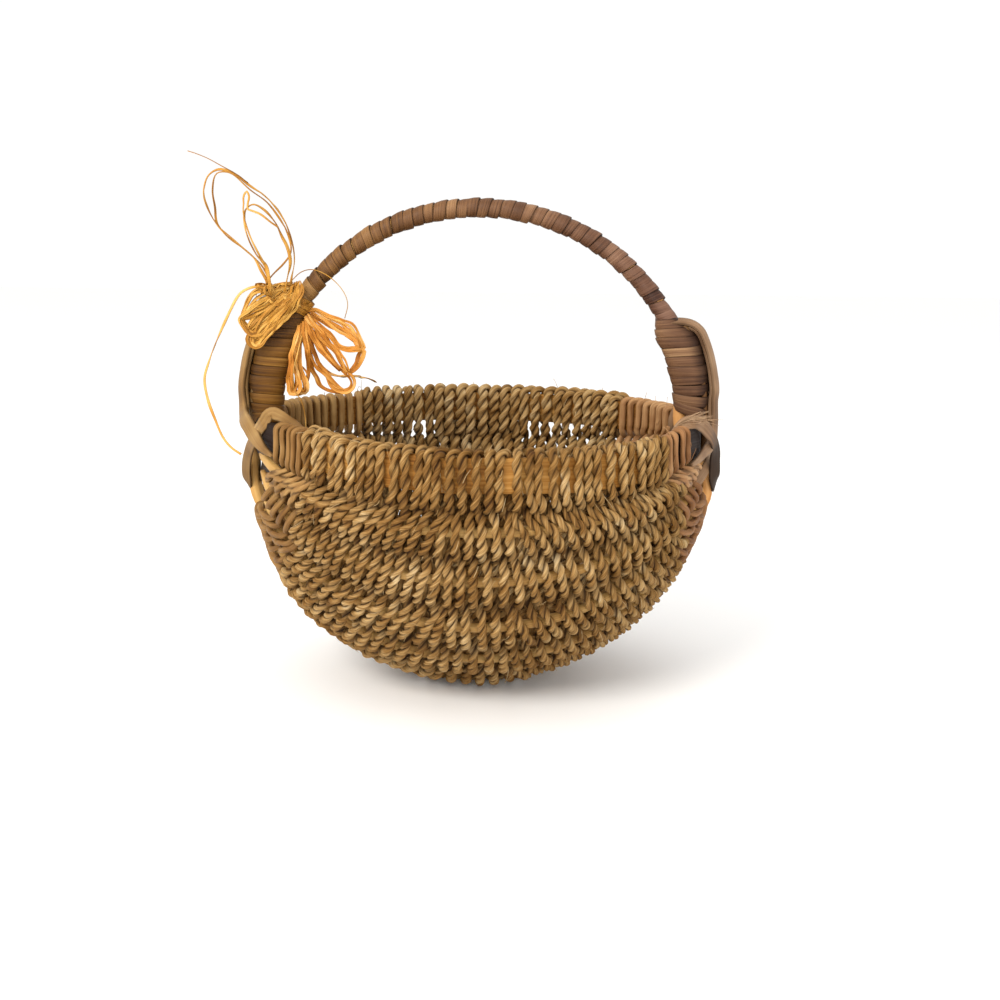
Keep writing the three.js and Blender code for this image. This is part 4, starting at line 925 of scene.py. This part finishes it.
SHOULDER = [[94.5, -2.8, 184.6, 0.05, -0.3, 0.95], [100.5, -3, 184.9, 0.15, -0.3, 0.94], [105.2, -3.2, 184.2, 0.4, -0.35, 0.85],
            [108.8, -3.3, 182.5, 0.62, -0.4, 0.68], [111.6, -3.4, 179.7, 0.76, -0.42, 0.5], [113.9, -3.4, 175, 0.84, -0.42, 0.36],
            [116.2, -3.4, 168.5, 0.86, -0.43, 0.28], [118.2, -3.4, 160.2, 0.88, -0.45, 0.18], [119.6, -3.5, 150, 0.88, -0.47, 0.06]]
SPLINT_LINE = {
    -1: [[-x, y, z, -nx, ny, nz] for x, y, z, nx, ny, nz in SHOULDER] + [
        [-119.1, -4.6, 143.2, -0.85, -0.52, 0.05], [-118.3, -8.4, 138.6, -0.78, -0.55, 0.25], [-116.4, -18, 136.2, -0.7, -0.52, 0.48], [-113.0, -28.6, 134.4, -0.68, -0.5, 0.52],
        [-109.3, -37, 131.4, -0.68, -0.5, 0.52], [-104.9, -47, 128.3, -0.76, -0.5, 0.42], [-100.6, -55, 126.1, -0.82, -0.5, 0.25], [-96.6, -61, 124.9, -0.82, -0.55, 0.1]],
    1: SHOULDER + [
        [119.1, -4, 145.5, 0.87, -0.48, 0], [119.2, -5, 134.4, 0.85, -0.5, 0.1], [117.9, -10, 128, 0.8, -0.5, 0.32],
        [115.2, -18, 124.6, 0.78, -0.47, 0.42], [110.6, -30, 122.8, 0.82, -0.45, 0.36], [105.8, -42, 121.1, 0.86, -0.45, 0.2], [101.4, -50.8, 120.6, 0.87, -0.48, 0.05]]}
LASH_LINE = {
    -1: [[-81.2, -66, 133.8, 0.5, 0.2, 0.6], [-83.4, -62.8, 137, 0.42, -0.3, 0.8], [-87.2, -57.8, 139.3, 0.3, -0.62, 0.72], [-91.5, -51.5, 140.6, 0.22, -0.72, 0.65], [-95.5, -46, 141.5, 0.12, -0.84, 0.52], [-98.7, -43.8, 142.3, 0, -0.9, 0.42], [-100.9, -43.2, 141.1, -0.14, -0.93, 0.32], [-102.2, -47.2, 139, -0.25, -0.93, 0.25], [-105.7, -40.5, 134, -0.42, -0.86, 0.12],
         [-110.6, -28.5, 126.4, -0.6, -0.78, 0.05], [-114.2, -18, 119.8, -0.66, -0.75, 0], [-116.2, -12.4, 113.8, -0.62, -0.78, 0], [-117.1, -8.8, 107.9, -0.62, -0.78, -0.05],
         [-116.9, -6, 102.6, -0.7, -0.7, -0.1], [-115.8, -3, 98.6, -0.88, -0.42, -0.2]],
    1: [[88.5, -50.5, 121, -0.86, 0.5, 0], [90.5, -50, 129, -0.8, 0.45, 0.35], [95.1, -46.5, 136.2, -0.35, -0.4, 0.85], [98.9, -44.6, 139.2, -0.1, -0.78, 0.62],
        [103, -42, 139.9, 0.05, -0.88, 0.45], [108.5, -35, 137, 0.3, -0.88, 0.32], [113.2, -28, 132.2, 0.5, -0.8, 0.25],
        [117.2, -18.6, 126, 0.66, -0.72, 0.12], [118.8, -13, 119.6, 0.6, -0.8, 0], [119, -9.6, 112.4, 0.58, -0.82, -0.05],
        [118.6, -8, 106.6, 0.62, -0.78, -0.1], [118.4, -5.4, 102.4, 0.85, -0.45, -0.18], [118, -4, 99.4, 0.93, -0.25, -0.28]]}
# the lash comes back inside the ear to the hoop
INSIDE_LINE = [[91, -47, 123, 0.85, -0.5, 0.1], [96, -40.5, 119.6, 0.88, -0.45, 0.1], [101, -31, 114.6, 0.9, -0.4, 0.1],
               [106, -18.6, 111.6, 0.94, -0.3, 0.1], [109.4, -6, 108.6, 0.97, -0.1, 0.1], [109.8, 3, 106, 0.97, 0, 0.1]]

def back_lash(side):
    """Behind the handle: from inside, tight over the rim and down outside to the hoop."""
    out = []
    for r, a, z, nr, nz in ([106.6, 17, 124, -1, 0], [106.4, 16.4, 131.5, -0.95, 0.25], [107.6, 15.8, 135.9, -0.6, 0.8], [110.2, 15.2, 137.4, 0, 1],
                            [112.9, 14.4, 136, 0.6, 0.8], [114.3, 13, 131, 0.95, 0.25], [115.2, 10.6, 124, 1, 0.1], [116.6, 7.8, 116.4, 1, 0],
                            [117.6, 5.2, 109.4, 1, 0], [117.4, 3.2, 103.6, 0.98, -0.1], [116.6, 1.6, 99.6, 0.95, -0.28]):
        c, d = math.cos(math.radians(a)), math.sin(math.radians(a))
        out.append([side * r * c, r * d, z, side * nr * c, nr * d, nz])
    return out

def to_back(rows):
    """The same strip behind the handle, drawn in closer to it."""
    out = []
    for x, y, z, nx, ny, nz in rows:
        r, a = math.hypot(x, y), math.atan2(-y, abs(x)) * 0.62
        out.append([math.copysign(r * math.cos(a), x), r * math.sin(a) + (0 if y < -8 else (-y - r * math.sin(a))), z, nx, -ny, nz])
    return out

def strip(m, rows, width, thick, shift, seed, taper_to=0.7, dark=None, tail=None):
    q = smooth(rows, 1.2)
    p, guide = q[:, :3], unit(q[:, 3:6])
    t, n, b = frames(p, guide)
    p = p + n * shift
    s = length_of(p)
    ends = np.clip(np.minimum(s, s[-1] - s) / 6, 0, 1)
    wid = width * (taper_to + (1 - taper_to) * ends ** 0.6) * (1 + 0.05 * noise1(s, 30, seed))
    if tail is not None:
        wid = wid * (0.3 + 0.7 * np.clip((s[-1] - s) / tail, 0, 1) ** 0.8)
    sec = flat_section(1.0, 1.0, 0.055, 0.12)[None] * np.stack([np.full_like(s, thick), wid], 1)[:, None]
    # painted shade along the strip's edges; dark adds more where it is given
    deep = np.clip((np.abs(flat_section(1, 1, 0.055)[:, 1]) - 0.44) / 0.06, 0, 1)[None] * 0.6
    if dark is not None:
        deep = np.clip(deep + dark(p)[:, None], 0, 1)
    m.sweep(p, n, b, sec, fib=np.stack(np.broadcast_arrays(sec[:, :, 1] * 0.35, sec[:, :, 0] * 0.35, s[:, None] * 0.1), -1),
            tone=0.5 + 0.25 * noise1(s, 40, seed + 1), deep=deep)

for side, label in ((-1, "left"), (1, "right")):
    for way, end in ((-1, "front"), (1, "back")):
        seed = 300 + 20 * side + 5 * way
        splint = SPLINT_LINE[side] if way < 0 else to_back(SPLINT_LINE[side])
        lash = LASH_LINE[side] if way < 0 else back_lash(side)
        m = Mesh()
        strip(m, splint, 7.2, 1.6, 0.0, seed, tail=26 if side < 0 else 48)
        strip(m, splint[2:11], 6.4, 1.5, -1.75, seed + 2, 0.8)
        m.make("%s_splint_%s" % (label, end), SPLINT, "basket", ("%s_outer_splint_%s" % (label, end),), "cane", lifted=False)
        m = Mesh()
        # the left lash is darker towards its lower end; the right lash's lower end is painted near black, as shade
        if side < 0:
            strip(m, lash, 6.6, 1.1, 0.0, seed + 3, 0.5, dark=lambda q: 0.3 * ease(-q[:, 2], -122, -112))
        else:
            strip(m, lash, 7.2, 1.2, 0.0, seed + 3, 0.5, dark=lambda q: 0.95 * ease(-q[:, 2], -131, -122))
        # the inside return is painted near black at the front and half dark behind, as shade that fills the ear's
        # hollow
        inside = [[side * x, -way * y, z, side * nx, -way * ny, nz] for x, y, z, nx, ny, nz in INSIDE_LINE[0 if way < 0 else 2:]]
        strip(m, inside, 12.5, 1.2, 0.0, seed + 4, 0.8, dark=lambda q: (1.0 if way < 0 else 0.45) + 0 * q[:, 2])
        if side > 0 and way < 0:
            # its other end, crossing the hoop below
            strip(m, [[117.3, -3.2, 117.6, 0.8, -0.6, 0], [115.9, -8.2, 113.8, 0.6, -0.8, 0.1], [112.4, -14, 110, 0.55, -0.82, 0.2],
                      [108.6, -20, 106.9, 0.55, -0.82, 0.2], [104.6, -26.5, 104.6, 0.6, -0.8, 0.2]], 5.2, 1.1, 0.0, seed + 6, 0.7)
        if side > 0 and way < 0:
            # frayed fibres where the right lash turns over the rim
            for i in range(46):
                k = rng.rand()
                at = np.array([92.5 + 12 * k, -46.5 + 4 * k, 137.2 + 3.4 * math.sin(k * 2.6)])
                go = unit(np.array([0.75 + 0.4 * rng.rand(), -0.25 + 0.5 * rng.rand(), 0.2 + 0.75 * rng.rand()]))
                u = np.linspace(0, 1, 9)[:, None]
                long = 5 + 9 * rng.rand()
                q = at + go * u * long + np.array([0.2, 0, -1.0]) * u ** 2 * long * (0.1 + 0.35 * rng.rand())
                _, nn, bb = frames(q)
                m.sweep(q, nn, bb, ring_points(4, 1.0, 1.0)[None] * (0.2 * (1 - 0.65 * u))[:, None], tone=np.full(9, 0.75 + 0.3 * rng.rand()))
        m.make("%s_lash_%s" % (label, end), SPLINT, "basket", ("%s_ear_lash_%s" % (label, end),), "cane", lifted=False)

# ---------------------------------------------------------------------------- stage
def stage():
    me = bpy.data.meshes.new("floor")
    r = 4.0
    me.from_pydata([(-r, -r, 0), (r, -r, 0), (r, r, 0), (-r, r, 0)], [], [(0, 1, 2, 3)])
    ob = bpy.data.objects.new("floor", me)
    bpy.context.collection.objects.link(ob)
    k = Nodes("floor_pale", Roughness=0.9, Specular_IOR_Level=0.1)
    k.bsdf.inputs["Base Color"].default_value = (0.97, 0.97, 0.965, 1)
    me.materials.append(k.m)
    world = bpy.data.worlds.new("studio")
    bpy.context.scene.world = world
    world.use_nodes = True
    bg = world.node_tree.nodes["Background"]
    bg.inputs[0].default_value, bg.inputs[1].default_value = (1.0, 0.995, 0.985, 1), 1.03
    def area(name, at, to, size, power, colour=(1, 1, 1)):
        data = bpy.data.lights.new(name, "AREA")
        data.shape, data.size, data.energy, data.color = "DISK", size, power, colour
        lamp = bpy.data.objects.new(name, data)
        bpy.context.collection.objects.link(lamp)
        at, to = np.array(at, float), np.array(to, float)
        z = unit(at - to)
        x = unit(np.cross([0, 0, 1.0], z))
        y = np.cross(z, x)
        lamp.matrix_world = Matrix([[x[i], y[i], z[i], at[i]] for i in range(3)] + [[0, 0, 0, 1]])
    area("key", (-0.72, -1.12, 0.92), (0, 0, 0.12), 0.7, 19, (1.0, 0.96, 0.9))
    area("top", (0.2, 0.2, 1.4), (0, 0, 0.1), 0.9, 2, (1.0, 0.98, 0.95))
    area("fill", (0.25, -1.5, 0.22), (0, 0, 0.08), 0.8, 5, (1.0, 0.95, 0.88))

stage()
bpy.context.scene.view_settings.view_transform = "Standard"
